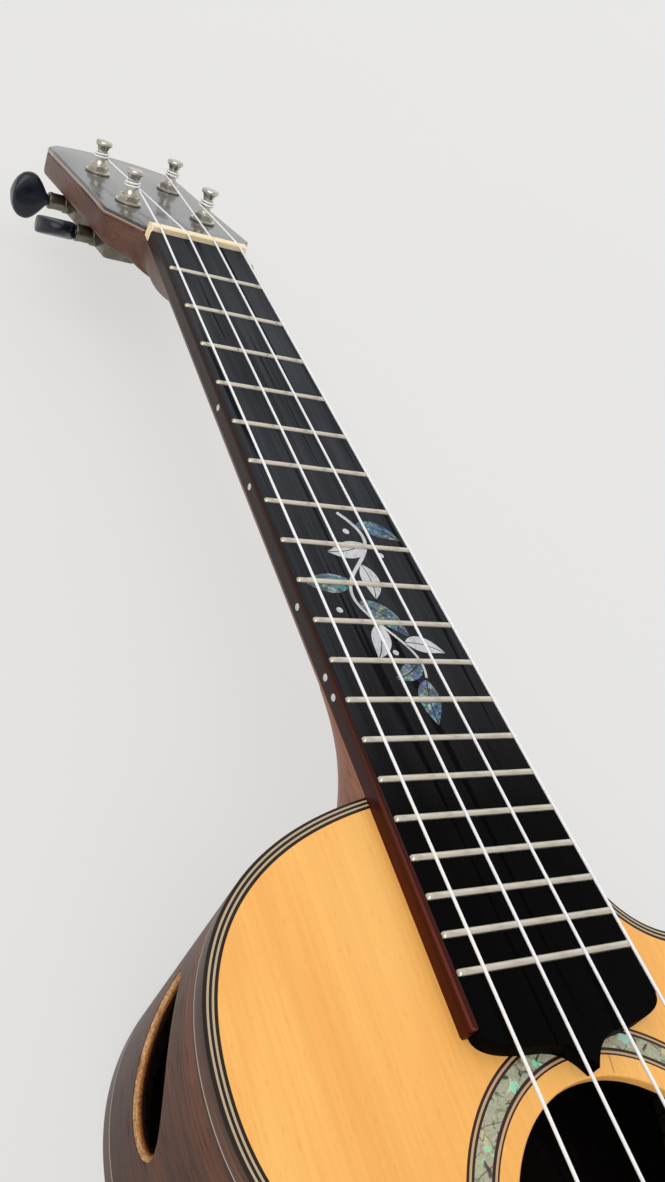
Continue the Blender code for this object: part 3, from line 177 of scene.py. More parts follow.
# tones: dark, middle and light, as 0..255 screen values. streak: noise scale across and along.
# line: scale across and along, strength. pore: scale across and along, the noise level where a pore
# begins, strength, colour. tints: the tone's factors along the piece, from the heel to the nut.
woods = {
    "spruceTop": {
        "tones": [(249, 177, 89), (252, 184, 96), (254, 193, 105)], "streak": (48.0, 9.0),
        "line": (900.0, 12.0, 0.07), "pore": (1100.0, 260.0, 0.67, 0.2, (222, 138, 62)),
        "roughness": 0.38, "bump": 0.00002, "turn": 0.02, "specular": 0.3},
    "rosewood": {
        "tones": [(58, 39, 32), (97, 62, 46), (146, 92, 62)], "streak": (70.0, 5.0),
        "line": (900.0, 14.0, 0.35), "pore": (2600.0, 110.0, 0.62, 0.6, (36, 26, 22)),
        "roughness": 0.4, "bump": 0.00005, "source": "uv", "warm": (68, 47, 39), "specular": 0.1},
    "rosewoodBack": {
        "tones": [(48, 35, 30), (78, 55, 45), (110, 74, 57)], "streak": (110.0, 6.0),
        "line": (800.0, 12.0, 0.5), "pore": (2600.0, 110.0, 0.62, 0.7, (30, 23, 22)),
        # inside: painted shade, the near black of the face inside the body
        "roughness": 0.36, "bump": 0.00005, "mirror": True, "inside": (16, 12, 10), "specular": 0.3},
    "neckWood": {
        "tones": [(134, 82, 58), (166, 108, 79), (188, 128, 95)], "streak": (120.0, 7.0),
        "line": (1300.0, 22.0, 0.25), "pore": (3000.0, 160.0, 0.63, 0.5, (70, 38, 30)),
        "roughness": 0.42, "bump": 0.00004, "specular": 0.3,
        "tints": [(0.0, (1.0, 1.0, 1.0)), (0.2, (0.9, 0.86, 0.88)), (0.5, (0.45, 0.46, 0.57)),
                  (1.0, (0.335, 0.37, 0.47))]},
    "stripWood": {
        "tones": [(46, 12, 7), (66, 20, 11), (86, 30, 16)], "streak": (300.0, 9.0),
        "line": (2600.0, 30.0, 0.25), "pore": (4200.0, 200.0, 0.62, 0.5, (36, 16, 13)),
        "roughness": 0.3, "bump": 0.00002, "specular": 0.12},
    "ebony": {
        "tones": [(15, 15, 16), (20, 20, 21), (24, 24, 25)], "streak": (190.0, 5.0),
        "line": (1500.0, 20.0, 0.3), "pore": (420.0, 8.0, 0.61, 0.9, (3, 3, 4)),
        "roughness": 0.45, "bump": 0.00002, "specular": 0.02,
        # tints: a painted reflection, near black beside the body rising to grey towards the nut
        "tints": [(0.0, (0.2, 0.2, 0.2)), (0.08, (0.4, 0.4, 0.4)), (0.15, (1.6, 1.6, 1.65)),
                  (0.21, (3.2, 3.25, 3.4)), (0.3, (4.6, 4.75, 5.1)), (0.6, (6.0, 6.3, 6.9)),
                  (1.0, (6.4, 6.8, 7.3))]},
    "portWood": {
        "tones": [(170, 118, 80), (224, 178, 130), (250, 212, 168)], "streak": (700.0, 220.0),
        "line": (2600.0, 1400.0, 0.5), "pore": (3600.0, 1500.0, 0.62, 0.4, (150, 92, 46)),
        "bump": 0.00006, "source": "uv"},
    # painted shade: the linings, blocks and braces inside the body are darkened to near black brown
    "shadedLiningWood": {
        "tones": [(44, 28, 20), (58, 38, 27), (70, 47, 33)], "streak": (120.0, 9.0),
        "line": (900.0, 14.0, 0.35), "pore": (2600.0, 200.0, 0.66, 0.4, (46, 28, 20)),
        "roughness": 0.7, "bump": 0.00006}}


def woodNodes(tree, look):
    # Colour = streaks (wide noise) mixed over three tones, times grain lines (fine noise), with short
    # dark pores where a third noise passes its cut. Height = lines minus pores.
    vector = coordinates(tree, look.get("source", "object"))
    if look.get("mirror"):
        vector = addNode(tree, "VectorMath", {0: vector}, operation="ABSOLUTE").outputs[0]
    vector = place(tree, vector, rotation=(0.0, 0.0, look.get("turn", 0.0)))

    def grain(key, *settings):
        across, along = look[key][:2]
        return noise(tree, place(tree, vector, (across, along, across)), 1.0, *settings)

    wide, fine, dots = grain("streak", 4.0, 0.55, 0.6), grain("line", 2.0), grain("pore", 1.0)
    slow = noise(tree, vector, 14.0, 2.0)
    tone = maths(tree, "ADD", maths(tree, "MULTIPLY", wide, 0.7), maths(tree, "MULTIPLY", slow, 0.3))
    color = screenRamp(tree, tone, [(at, *rgb) for at, rgb in zip((0.36, 0.5, 0.64), look["tones"])])
    lines = levels(tree, fine, 0.35, 0.65, 1.0 - look["line"][2], 1.0)
    color = mixColor(tree, 1.0, color, lines, "MULTIPLY")
    cut, strength, stain = look["pore"][2:]
    pores = levels(tree, dots, cut, cut + 0.05, 0.0, strength)
    color = mixColor(tree, pores, color, srgb(*stain))
    height = maths(tree, "SUBTRACT", maths(tree, "MULTIPLY", fine, 0.6), pores)
    return color, height, pores, wide


def stripTone(tree, color):
    # Dark red beside the body, grey black at the nut. A painted highlight runs along the chamfer, and
    # towards the nut the top face carries painted shade, darker than the outer face.
    along, level = axis(tree, 1), axis(tree, 2)
    color = mixColor(tree, levels(tree, along, 0.13, 0.21, 0.0, 0.94), color, srgb(43, 36, 33))
    # painted highlight: a light line along the chamfer, strongest beside the body
    edge = maths(tree, "MULTIPLY", levels(tree, level, boardTop - 0.0008, boardTop - 0.0006),
                 levels(tree, level, boardTop - 0.0003, boardTop - 0.0001, 1.0, 0.0))
    edge = maths(tree, "MULTIPLY", edge, levels(tree, along, 0.10, 0.19, 0.26, 0.04))
    color = mixColor(tree, edge, color, srgb(168, 84, 62))
    # painted shade: the top face is darkened, more towards the nut
    top = levels(tree, level, boardTop - 0.0003, boardTop - 0.0001)
    top = maths(tree, "MULTIPLY", top, levels(tree, along, 0.12, 0.19, 0.4, 0.65))
    return mixColor(tree, top, color, srgb(30, 9, 7))


def woodMaterial(name):
    look = woods[name]
    material, tree, shader = startMaterial(name, {"Specular IOR Level": look.get("specular", 0.5)})
    color, height, pores, wide = woodNodes(tree, look)
    if "warm" in look:
        # redder towards the back edge: the first UV value is the height on the side
        color = mixColor(tree, levels(tree, axis(tree, 0, "uv"), 0.0, 0.046, 0.6, 0.0), color,
                         srgb(*look["warm"]))
    # for the ebony the tints are a painted reflection along the board
    if "tints" in look:
        tints = ramp(tree, levels(tree, axis(tree, 1), 0.12, 0.38), look["tints"])
        color = mixColor(tree, 1.0, color, tints, "MULTIPLY")
    if "inside" in look:
        # painted shade: the face inside the box is darkened to near black, for the shade inside the body
        color = mixColor(tree, levels(tree, axis(tree, 2), 0.001, 0.002), color, srgb(*look["inside"]))
    if name == "stripWood":
        color = stripTone(tree, color)
    rough = maths(tree, "ADD", levels(tree, wide, 0.3, 0.7, -0.05, 0.06), look["roughness"])
    rough = maths(tree, "ADD", rough, maths(tree, "MULTIPLY", pores, 0.2))
    dress(tree, shader, color, rough, bump(tree, height, look["bump"]))
    return material


# Lines of an edge band, by distance round its section from its lowest outer corner (metres).
bandLines = {
    "pale": srgb(188, 168, 138), "dark": srgb(38, 27, 21), "side": (-0.0001, 0.0004, srgb(168, 160, 150)),
    "top": (0.00455, 0.00558, 0.00606, 0.00667, 0.00715, 0.00800), "back": (0.00555, 0.00612)}


def alternate(edges, *tones):
    # lines that meet at the edges and take the tones in turn
    return [(start, end, tones[k % len(tones)]) for k, (start, end) in enumerate(zip(edges, edges[1:]))]


def stripes(tree, across, color, lines, soft=0.00004):
    # lines: (start, end, colour); each is laid over the one before with a soft edge
    for start, end, tint in lines:
        rise = levels(tree, across, start - soft, start + soft)
        fall = levels(tree, across, end - soft, end + soft)
        color = mixColor(tree, maths(tree, "SUBTRACT", rise, fall), color, tint)
    return color


def bandMaterial(name, lines):
    material, tree, shader = startMaterial(name, {"Roughness": 0.36, "Specular IOR Level": 0.2})
    color, height = woodNodes(tree, woods["rosewood"])[:2]
    color = stripes(tree, axis(tree, 0, "uv"), color, [bandLines["side"]] + lines)
    dress(tree, shader, color, None, bump(tree, height, 0.00003))
    return material


def portMaterial():
    # A rim pale at the outer lip (2.1 mm round the section), darkening to near black at the inner edge.
    material, tree, shader = startMaterial("portRim", {"Roughness": 0.8, "Specular IOR Level": 0.05})
    color, height, _, wide = woodNodes(tree, woods["portWood"])
    uneven = maths(tree, "ADD", axis(tree, 0, "uv"), levels(tree, wide, 0.3, 0.7, -0.0002, 0.0002))
    innerDarkening = ramp(tree, levels(tree, uneven, 0.0021, 0.0048), [
        (0.0, (1.0, 1.0, 1.0)), (0.42, (0.94, 0.85, 0.74)), (0.64, (0.5, 0.28, 0.15)),
        (0.88, (0.02, 0.012, 0.01))])
    color = mixColor(tree, 1.0, color, innerDarkening, "MULTIPLY")
    dress(tree, shader, color, None, bump(tree, height, woods["portWood"]["bump"]))
    return material


# shell, metal, plastic

# ramps of (place, red, green, blue), and the tones of the rings beside the rosette's shell
shellLook = {
    "tints": [(0.0, 108, 108, 86), (0.25, 154, 154, 126), (0.45, 180, 182, 152), (0.6, 150, 156, 132),
              (0.75, 186, 170, 152), (0.9, 162, 162, 132), (1.0, 206, 210, 178)],
    "sparks": [(0.0, 150, 236, 196), (0.3, 214, 224, 120), (0.5, 232, 150, 204), (0.68, 170, 226, 214),
               (0.84, 206, 200, 150)],
    "deepTints": [(0.0, 26, 44, 74), (0.16, 46, 96, 122), (0.3, 42, 60, 124), (0.42, 60, 134, 112),
                  (0.54, 36, 76, 88), (0.66, 80, 76, 138), (0.78, 118, 144, 96), (0.88, 40, 76, 110),
                  (1.0, 34, 64, 68)],
    "ringTones": (srgb(48, 20, 14), srgb(196, 160, 120)),
    "innerRings": (0.0370, 0.0379, 0.0384, 0.0391), "outerRings": (0.0428, 0.0434, 0.0439, 0.0450)}


def abaloneMaterial():
    # Bands of colour from strongly bent noise, with dark swirl lines where a second noise is near 0.5.
    gloss = {"Coat Weight": 0.4, "Coat Roughness": 0.08}
    material, tree, shader = startMaterial("abaloneShell", gloss)
    vector = coordinates(tree)
    bands = noise(tree, vector, 95.0, 3.0, 0.5, 1.6)
    color = screenRamp(tree, levels(tree, bands, 0.32, 0.68), shellLook["deepTints"])
    glow = noise(tree, vector, 420.0, 2.0, 0.5, 1.5)
    color = mixColor(tree, 1.0, color, levels(tree, glow, 0.36, 0.64, 0.3, 2.0), "MULTIPLY")
    swirl = maths(tree, "ABSOLUTE", maths(tree, "SUBTRACT", noise(tree, vector, 130.0, 2.0, 0.5, 2.2), 0.5))
    color = mixColor(tree, levels(tree, swirl, 0.004, 0.022, 0.85, 0.0), color, srgb(12, 20, 28))
    dress(tree, shader, color, levels(tree, bands, 0.3, 0.7, 0.16, 0.3))
    return material


def rosetteMaterial():
    # Grey green shell with bright cells, dark patches and cracks between two sets of rings, by
    # distance from the hole's middle: dark, pale, dark, shell, dark, pale, dark.
    material, tree, shader = startMaterial("rosetteShell", {"Roughness": 0.3, "Specular IOR Level": 0.3})
    vector = coordinates(tree)
    cloud = noise(tree, vector, 230.0, 4.0, 0.6, 1.5)
    shell = screenRamp(tree, levels(tree, cloud, 0.32, 0.68), shellLook["tints"])
    warp = addNode(tree, "CombineXYZ", {0: maths(tree, "MULTIPLY", cloud, 0.004)}).outputs[0]
    bent = addNode(tree, "VectorMath", {0: vector, 1: warp}).outputs[0]
    cells = addNode(tree, "TexVoronoi", {"Vector": bent, "Scale": 420.0})
    split = addNode(tree, "SeparateColor", {0: cells.outputs["Color"]})
    spark = screenRamp(tree, split.outputs[1], shellLook["sparks"], "CONSTANT")
    shell = mixColor(tree, levels(tree, split.outputs[0], 0.78, 0.84, 0.0, 0.7), shell, spark)
    patch = noise(tree, vector, 170.0, 2.0, 0.5, 2.0)
    shell = mixColor(tree, levels(tree, patch, 0.60, 0.65, 0.0, 0.85), shell, srgb(30, 26, 22))
    edges = addNode(tree, "TexVoronoi", {"Vector": bent, "Scale": 190.0}, feature="DISTANCE_TO_EDGE")
    crack = levels(tree, edges.outputs["Distance"], 0.004, 0.022, 0.7, 0.0)
    shell = mixColor(tree, crack, shell, srgb(46, 42, 36))
    flat = place(tree, vector, (1.0, 1.0, 0.0), (0.0, -holeY, 0.0))
    radius = addNode(tree, "VectorMath", {0: flat}, operation="LENGTH").outputs["Value"]
    lines = [line for key in ("innerRings", "outerRings")
             for line in alternate(shellLook[key], *shellLook["ringTones"])]
    dress(tree, shader, stripes(tree, radius, shell, lines))
    return material


# One cloud of noise makes each of these. cloud: its scale, detail, roughness and distortion. stretch:
# its scale on each axis. tones: (noise level, red, green, blue). rough: noise levels and roughness from
# and to, or one number. bump: height in metres. shader: the remaining sockets.
surfaces = {
    "nickel": {
        "cloud": (260.0, 4.0, 0.6), "tones": [(0.35, 208, 204, 192), (0.75, 186, 180, 164)],
        "rough": (0.3, 0.75, 0.16, 0.36), "bump": 0.000004, "shader": {"Metallic": 1.0}},
    "fretMetal": {
        "cloud": (500.0, 4.0, 0.6), "tones": [(0.35, 228, 220, 204), (0.75, 218, 209, 192)],
        "rough": (0.3, 0.75, 0.28, 0.48), "bump": 0.0000005, "shader": {"Metallic": 1.0}},
    # shadedTunerCase: painted shade, a darker copy of the nickel for the cases under the headstock
    "shadedTunerCase": {
        "cloud": (260.0, 4.0, 0.6), "tones": [(0.35, 122, 118, 106), (0.75, 96, 92, 82)],
        "rough": (0.3, 0.75, 0.24, 0.44), "bump": 0.000004, "shader": {"Metallic": 1.0}},
    "knob": {
        "cloud": (300.0, 3.0), "tones": [(0.3, 10, 16, 27), (0.7, 15, 23, 37)],
        "rough": (0.3, 0.7, 0.24, 0.39), "bump": 0.000002,
        "shader": {"Coat Weight": 0.2, "Coat Roughness": 0.08, "Specular IOR Level": 0.35}},
    "nylon": {
        "cloud": (900.0, 3.0), "tones": [(0.3, 240, 240, 241), (0.7, 250, 250, 250)],
        "rough": (0.3, 0.7, 0.2, 0.325), "bump": 0.00001,
        "shader": {"Coat Weight": 0.3, "Coat Roughness": 0.08}},
    "pearl": {
        "cloud": (1.0, 3.0, 0.6, 2.5), "stretch": (420.0, 160.0, 420.0), "rough": (0.3, 0.7, 0.14, 0.3),
        "tones": [(0.3, 160, 164, 168), (0.45, 190, 192, 196), (0.55, 208, 208, 208), (0.7, 172, 180, 190)],
        "shader": {"Coat Weight": 0.6, "Coat Roughness": 0.06}},
    "bone": {
        "cloud": (1.0, 3.0, 0.6), "stretch": (90.0, 900.0, 900.0), "rough": 0.35, "bump": 0.00001,
        "tones": [(0.3, 246, 220, 172), (0.5, 252, 232, 190), (0.7, 255, 242, 212)],
        "shader": {"Coat Weight": 0.15, "Coat Roughness": 0.2, "Subsurface Weight": 0.12,
                   "Subsurface Scale": 0.002}},
    # black gloss; the chamfered edge shows a dark line over a light brown one, by its UV in metres
    "headplate": {
        "cloud": (1.0, 3.0, 0.6), "stretch": (700.0, 18.0, 700.0), "rough": 0.22, "bump": 0.000008,
        "tones": [(0.3, 44, 44, 48), (0.7, 72, 72, 76)],
        "lines": [(-0.001, 0.0012, srgb(92, 60, 49)), (0.0010, 0.00155, srgb(176, 138, 106))],
        "shader": {"Coat Weight": 0.4, "Coat Roughness": 0.06}}}


def surfaceMaterial(name):
    look = surfaces[name]
    material, tree, shader = startMaterial(name, look["shader"])
    vector = coordinates(tree)
    if "stretch" in look:
        vector = place(tree, vector, look["stretch"])
    cloud = noise(tree, vector, *look["cloud"])
    color, rough, height = screenRamp(tree, cloud, look["tones"]), look["rough"], cloud
    if "lines" in look:
        color = stripes(tree, axis(tree, 0, "uv"), color, look["lines"])
    if isinstance(rough, tuple):
        rough = levels(tree, cloud, *rough)
    if "Metallic" in look["shader"]:
        # fine scratches along the strings
        height = noise(tree, place(tree, vector, (6000.0, 400.0, 6000.0)), 1.0, 2.0)
    dress(tree, shader, color, rough, bump(tree, height, look["bump"]) if "bump" in look else None)
    return material


materials = {name: woodMaterial(name) for name in woods if name != "portWood"}
materials.update({name: surfaceMaterial(name) for name in surfaces})
materials.update(
    topBand=bandMaterial("topBand", alternate(bandLines["top"], bandLines["dark"], bandLines["pale"])),
    backBand=bandMaterial("backBand", alternate(bandLines["back"], bandLines["pale"])),
    portWood=portMaterial(), rosette=rosetteMaterial(), abalone=abaloneMaterial())
print("materials made:", len(materials))


# mesh helpers


def linked(name, data):
    item = bpy.data.objects.new(name, data)
    bpy.context.scene.collection.objects.link(item)
    return item


def faceOutwards(mesh, mergeWithin=0.0):
    data = bmesh.new()
    data.from_mesh(mesh)
    if mergeWithin:
        bmesh.ops.remove_doubles(data, verts=data.verts, dist=mergeWithin)
    bmesh.ops.recalc_face_normals(data, faces=data.faces)
    data.to_mesh(mesh)
    data.free()


def newMesh(name, points, faces):
    mesh = bpy.data.meshes.new(name)
    faces = [list(map(int, face)) for face in faces]
    mesh.from_pydata(np.asarray(points, float).reshape(-1, 3).tolist(), [], faces)
    return mesh


def finish(name, points, faces, material, node=None, slot=None, rideOn=body, uv=None, angle=35.0):
    # Makes the piece, merges its poles, turns its faces outwards and hands it to the frame.
    mesh = newMesh(name, points, faces)
    if uv is not None:
        layer = mesh.uv_layers.new(name="UVMap")
        layer.data.foreach_set("uv", np.asarray(uv, np.float32).ravel())
    faceOutwards(mesh, 1e-7)
    mesh.shade_smooth()
    mesh.set_sharp_from_angle(angle=math.radians(angle))
    corners = np.zeros(len(mesh.polygons), np.int32)
    mesh.polygons.foreach_get("loop_total", corners)
    mesh.polygons.foreach_set("use_smooth", corners < 5)
    mesh.materials.append(materials[material])
    item = linked(name, mesh)
    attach(item, rideOn)
    if node:
        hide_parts(node)
    return item


def gridFaces(rows, columns, closeRows=False):
    # Quads of a grid of points, ring by ring; each ring is closed, and the last may join the first.
    r = np.arange(rows if closeRows else rows - 1)
    r, c = np.meshgrid(r, np.arange(columns), indexing="ij")
    r1, c1 = (r + 1) % rows, (c + 1) % columns
    quads = np.stack([r * columns + c, r * columns + c1, r1 * columns + c1, r1 * columns + c], axis=-1)
    return quads.reshape(-1, 4)


def solidFaces(rows, columns):
    # the quads of a tube of rings, with one face across each end
    ends = [list(range(columns))[::-1], list(range((rows - 1) * columns, rows * columns))]
    return gridFaces(rows, columns).tolist() + ends


def addSolid(name, rings, material, **rest):
    rings = np.asarray(rings, float)
    return finish(name, rings, solidFaces(*rings.shape[:2]), material, **rest)


def gridUv(across, along):
    # Corner values for gridFaces: across holds one value per row plus the closing one, along per column.
    a0, a1 = across[:-1, None], across[1:, None]
    b0, b1 = along[None, :-1], along[None, 1:]
    corners = [np.broadcast_arrays(a, b) for a, b in ((a0, b0), (a0, b1), (a1, b1), (a1, b0))]
    return np.stack([np.stack(pair, axis=-1) for pair in corners], axis=2).reshape(-1, 2)


def addGrid(name, points, material, closeRows=False, across=None, along=None, **rest):
    uv = None if across is None else gridUv(np.asarray(across), np.asarray(along))
    faces = gridFaces(*points.shape[:2], closeRows)
    return finish(name, points, faces, material, uv=uv, **rest)


def insetLoop(loop, distance):
    # Each corner moves inwards along the mean normal, so that both of its sides move by distance.
    before = loop - np.roll(loop, 1, axis=0)
    after = np.roll(loop, -1, axis=0) - loop
    before /= np.linalg.norm(before, axis=1, keepdims=True)
    after /= np.linalg.norm(after, axis=1, keepdims=True)
    normal = np.stack([-before[:, 1] - after[:, 1], before[:, 0] + after[:, 0]], axis=1)
    normal /= np.linalg.norm(normal, axis=1, keepdims=True)
    side = np.stack([-after[:, 1], after[:, 0]], axis=1)
    reach = distance / np.maximum(0.5, (normal * side).sum(1))
    return loop + normal * reach[:, None]


def atLevel(points, level):
    # flat points with a height
    return np.column_stack([points, np.full(len(points), level)])


def insetRings(loop, rows):
    # the loop moved inwards by each row's inset, at each row's level
    return np.array([atLevel(insetLoop(loop, inset), level) for inset, level in rows])


def joinMeshes(parts):
    # parts: (points, faces); one mesh of them all
    verts, faces, base = [], [], 0
    for points, quads in parts:
        verts.append(points.reshape(-1, 3))
        faces += [[base + int(i) for i in face] for face in quads]
        base += len(verts[-1])
    return np.vstack(verts), faces


def runLength(points):
    # distance along a row of points
    steps = np.linalg.norm(np.diff(np.array(points), axis=0), axis=1)
    return np.concatenate([[0.0], np.cumsum(steps)])


def closedRow(points):
    return np.concatenate([points, points[:1]])


def plate(name, loop, rows, material, lift=None, **rest):
    # A flat-faced solid: the loop moved inwards by each row's inset at each row's level, capped by
    # one face at each end. lift turns (x, y, level) rows into their place.
    rings = insetRings(loop, rows)
    if lift is not None:
        rings = lift(rings)
    across, along = runLength(rows), runLength(closedRow(loop))
    ends = [np.column_stack([np.full(len(loop), level), run])
            for level, run in ((across[0], along[:-1][::-1]), (across[-1], along[:-1]))]
    return addSolid(name, rings, material, uv=np.concatenate([gridUv(across, along), *ends]), **rest)


def ringBand(name, loop, section, material, **rest):
    # A closed section of (inset, level) points carried round the loop. UV = (distance round the
    # section, distance along the loop).
    return addGrid(name, insetRings(loop, section), material, True, runLength(closedRow(section)),
                   runLength(closedRow(loop)), **rest)


def circle(count, radius=1.0):
    turn = 2.0 * np.pi * np.arange(count) / count
    return radius * np.stack([np.cos(turn), np.sin(turn)], axis=-1)


def roundCorner(center, radius, start, end, count):
    # points on an arc from angle start to end, in degrees
    turn = np.radians(np.linspace(start, end, count))
    return [(center[0] + radius * math.cos(t), center[1] + radius * math.sin(t)) for t in turn]


def bezier(start, first, second, end, count):
    # Cubic curve: sum of the four points weighted by (s^3, 3s^2t, 3st^2, t^3), without its last point.
    t = np.arange(count)[:, None] / count
    s = 1.0 - t
    return (s ** 3 * np.array(start) + 3 * s * s * t * np.array(first)
            + 3 * s * t * t * np.array(second) + t ** 3 * np.array(end))


def smoothTable(stations, count):
    # Catmull-Rom through rows of numbers: each span of four rows gives count new ones.
    stations = np.array(stations, float)
    padded = np.vstack([2 * stations[0] - stations[1], stations, 2 * stations[-1] - stations[-2]])
    t = np.arange(count)[:, None] / count
    spans = []
    for a, b, c, d in zip(padded, padded[1:], padded[2:], padded[3:]):
        spans.append(0.5 * (2 * b + (c - a) * t + (2 * a - 5 * b + 4 * c - d) * t * t
                            + (3 * b - a - 3 * c + d) * t ** 3))
    spans.append(stations[-1:])
    return np.vstack(spans)


def headPlace(points):
    # (across, along, out) on the headstock, leaned back by its tilt about the nut's rear edge.
    points = np.asarray(points, float)
    cos, sin = math.cos(build["headTilt"]), math.sin(build["headTilt"])
    y = headOrigin[1] + points[..., 1] * cos + points[..., 2] * sin
    z = headOrigin[2] - points[..., 1] * sin + points[..., 2] * cos
    return np.stack([points[..., 0], y, z], axis=-1)


def cutAway(item, rings):
    # Cuts a capped tube of rings out of the piece for good.
    mesh = newMesh("cutter", rings, solidFaces(*rings.shape[:2]))
    faceOutwards(mesh)
    cutter = linked("cutter", mesh)
    modifier = item.modifiers.new("cut", "BOOLEAN")
    modifier.operation = "DIFFERENCE"
    modifier.solver = "EXACT"
    modifier.object = cutter
    bpy.context.view_layer.update()
    evaluated = item.evaluated_get(bpy.context.evaluated_depsgraph_get())
    mesh = bpy.data.meshes.new_from_object(evaluated)
    item.modifiers.clear()
    old = item.data
    item.data = mesh
    bpy.data.meshes.remove(old)
    mesh.name = item.name
    mesh.set_sharp_from_angle(angle=math.radians(38.0))
    bpy.data.objects.remove(cutter)


# body outline


bodyShape = {
    "upperWidth": 0.166, "upperDrop": 0.059, "waistWidth": 0.130, "waistDrop": 0.116, "lowerWidth": 0.226,
    "lowerDrop": 0.214, "seatWidth": 0.053, "cutawayRun": 0.0335, "cutawayDrop": 0.0455,
    "hornInset": 0.0150, "hornRise": 0.0018, "hornSideDrop": 0.060, "finer": 8}


def bodyOutline():
    # Counter-clockwise from the bass corner of the neck seat, in cubic curves that run along the
    # body where a bout is widest or narrowest.
    s = bodyShape
    seat, half, high, finer = s["seatWidth"] / 2, s["upperWidth"] / 2, neckEndY, s["finer"]
    upper, waist, lower = ((-s[key + "Width"] / 2, high - s[key + "Drop"])
                           for key in ("upper", "waist", "lower"))
    tail, corner, run = (0.0, -neckEndY), (-seat, high), half - seat

    def flank(start, end, first, last, count):
        # both ends run along the body, with handles that are shares of the way between them
        gap = start[1] - end[1]
        return bezier(start, (start[0], start[1] - first * gap), (end[0], end[1] + last * gap), end,
                      count * finer)

    bout = bezier(lower, (lower[0], lower[1] - 0.56 * (lower[1] - tail[1])), (0.56 * lower[0], tail[1]),
                  tail, 12 * finer)
    low = np.vstack([flank(waist, lower, 0.42, 0.50, 11), bout])
    shoulder = (-seat - 0.53 * run, high - 0.110 * s["upperDrop"])
    parts = [bezier(corner, shoulder, (upper[0], upper[1] + 0.61 * s["upperDrop"]), upper, 14 * finer),
             flank(upper, waist, 0.51, 0.42, 9), low, [tail], (low[1:] * (-1.0, 1.0))[::-1]]
    # the treble side: up to the horn, along its crest, down into the cutaway and up to the neck
    side, floorY = (half, high - s["hornSideDrop"]), high - s["cutawayDrop"]
    horn, floor = (half - s["hornInset"], floorY + s["hornRise"]), (seat + s["cutawayRun"], floorY)
    rise, span = horn[1] - side[1], horn[0] - floor[0]
    parts += [flank((-waist[0], waist[1]), side, 0.42, 0.45, 9),
              bezier(side, (side[0], side[1] + 0.55 * rise), (horn[0] + 0.55 * s["hornInset"], horn[1]),
                     horn, 7 * finer),
              bezier(horn, (horn[0] - 0.4 * span, horn[1]), (floor[0] + 0.4 * span, floorY), floor,
                     3 * finer),
              bezier(floor, (floor[0] - 0.78 * s["cutawayRun"], floorY),
                     (seat, floorY + 0.30 * s["cutawayDrop"]), (seat, high), 9 * finer),
              np.linspace((seat, high), corner, 12)[:-1]]
    return np.vstack(parts)


outline = bodyOutline()
print("outline:", len(outline), "points")


# sides, bands, port

sideShape = {
    "thick": 0.0018, "bandHeight": 0.0050, "bandRound": 0.00035, "bandTopWidth": 0.0030,
    "backTopWidth": 0.0024, "rabbet": 0.0015, "portAlong": 0.0707, "portBelow": 0.029512,
    "portLength": 0.0372, "portHeight": 0.0202, "portTilt": math.radians(26.5), "portWall": 0.0014,
    "portDepth": 0.0024}


def portRings(section, count):
    # Ovals on the bass side, one for each (shrink, depth): along and up from the port's middle, sunk
    # by depth along the normal.
    s = sideShape
    tilt = s["portTilt"]
    lengths = runLength(closedRow(outline))[:-1]
    inner = insetLoop(outline, 1.0) - outline
    rings = []
    for shrink, depth in section:
        along, up = (circle(count) * [s["portLength"] / 2 - shrink, s["portHeight"] / 2 - shrink]).T
        run = s["portAlong"] + along * math.cos(tilt) + up * math.sin(tilt)
        level = topZ - s["portBelow"] - along * math.sin(tilt) + up * math.cos(tilt)
        x, y = (np.interp(run, lengths, outline[:, k]) + depth * np.interp(run, lengths, inner[:, k])
                for k in (0, 1))
        rings.append(np.column_stack([x, y, level]))
    return np.array(rings)


def makeSides():
    thick, low = sideShape["thick"], sideShape["bandHeight"]
    high = topZ - low
    section = [(0.0, z) for z in np.linspace(low, high, 6)] + [(thick, high), (thick, low)]
    sides = ringBand("sideWalls", outline, section, "rosewood", node="body_sides", slot="rosewood",
                     angle=40.0)
    cutAway(sides, portRings([(0.0, -0.010), (0.0, thick + 0.010)], 96))


def makePortRing():
    # The section (shrink, depth) goes round the oval and falls steeply from its outer lip.
    wall, depth = sideShape["portWall"], sideShape["portDepth"]
    section = [(0.0, depth), (0.0, 0.0003), (0.00015, 0.0001), (0.0003, 0.0004), (0.7 * wall, 0.0010),
               (wall, 0.0016), (wall, depth)]
    rings = portRings(section, 128)
    addGrid("portLining", rings, "portWood", True, runLength(closedRow(section)),
            runLength(closedRow(rings[0])), node="port_ring", slot="pale_wood", angle=50.0)


def makeBands():
    # sections of (inset, depth under the face), from the lowest outer corner over the rounded edge
    s = sideShape
    r, high = s["bandRound"], s["bandHeight"]
    for name, material, node, width, face, way in (
            ("topEdgeBand", "topBand", "top_edge_band", s["bandTopWidth"], topZ, -1.0),
            ("backEdgeBand", "backBand", "back_edge_band", s["backTopWidth"], 0.0, 1.0)):
        section = [(0.0, high)] + [(r - r * math.cos(t), r - r * math.sin(t))
                                   for t in np.radians(np.linspace(0, 90, 6))]
        section += [(width, 0.0), (width, s["rabbet"]), (s["thick"], s["rabbet"]), (s["thick"], high)]
        section = [(inset, face + way * depth) for inset, depth in section]
        ringBand(name, outline, section, material, node=node, slot="rosewood")


liningLook = {"pitch": 0.0058, "cutWidth": 0.0009, "cutDepth": 0.0044, "strip": 0.0060,
              "height": 0.0120, "under": 0.0026, "firstCut": 0.001}


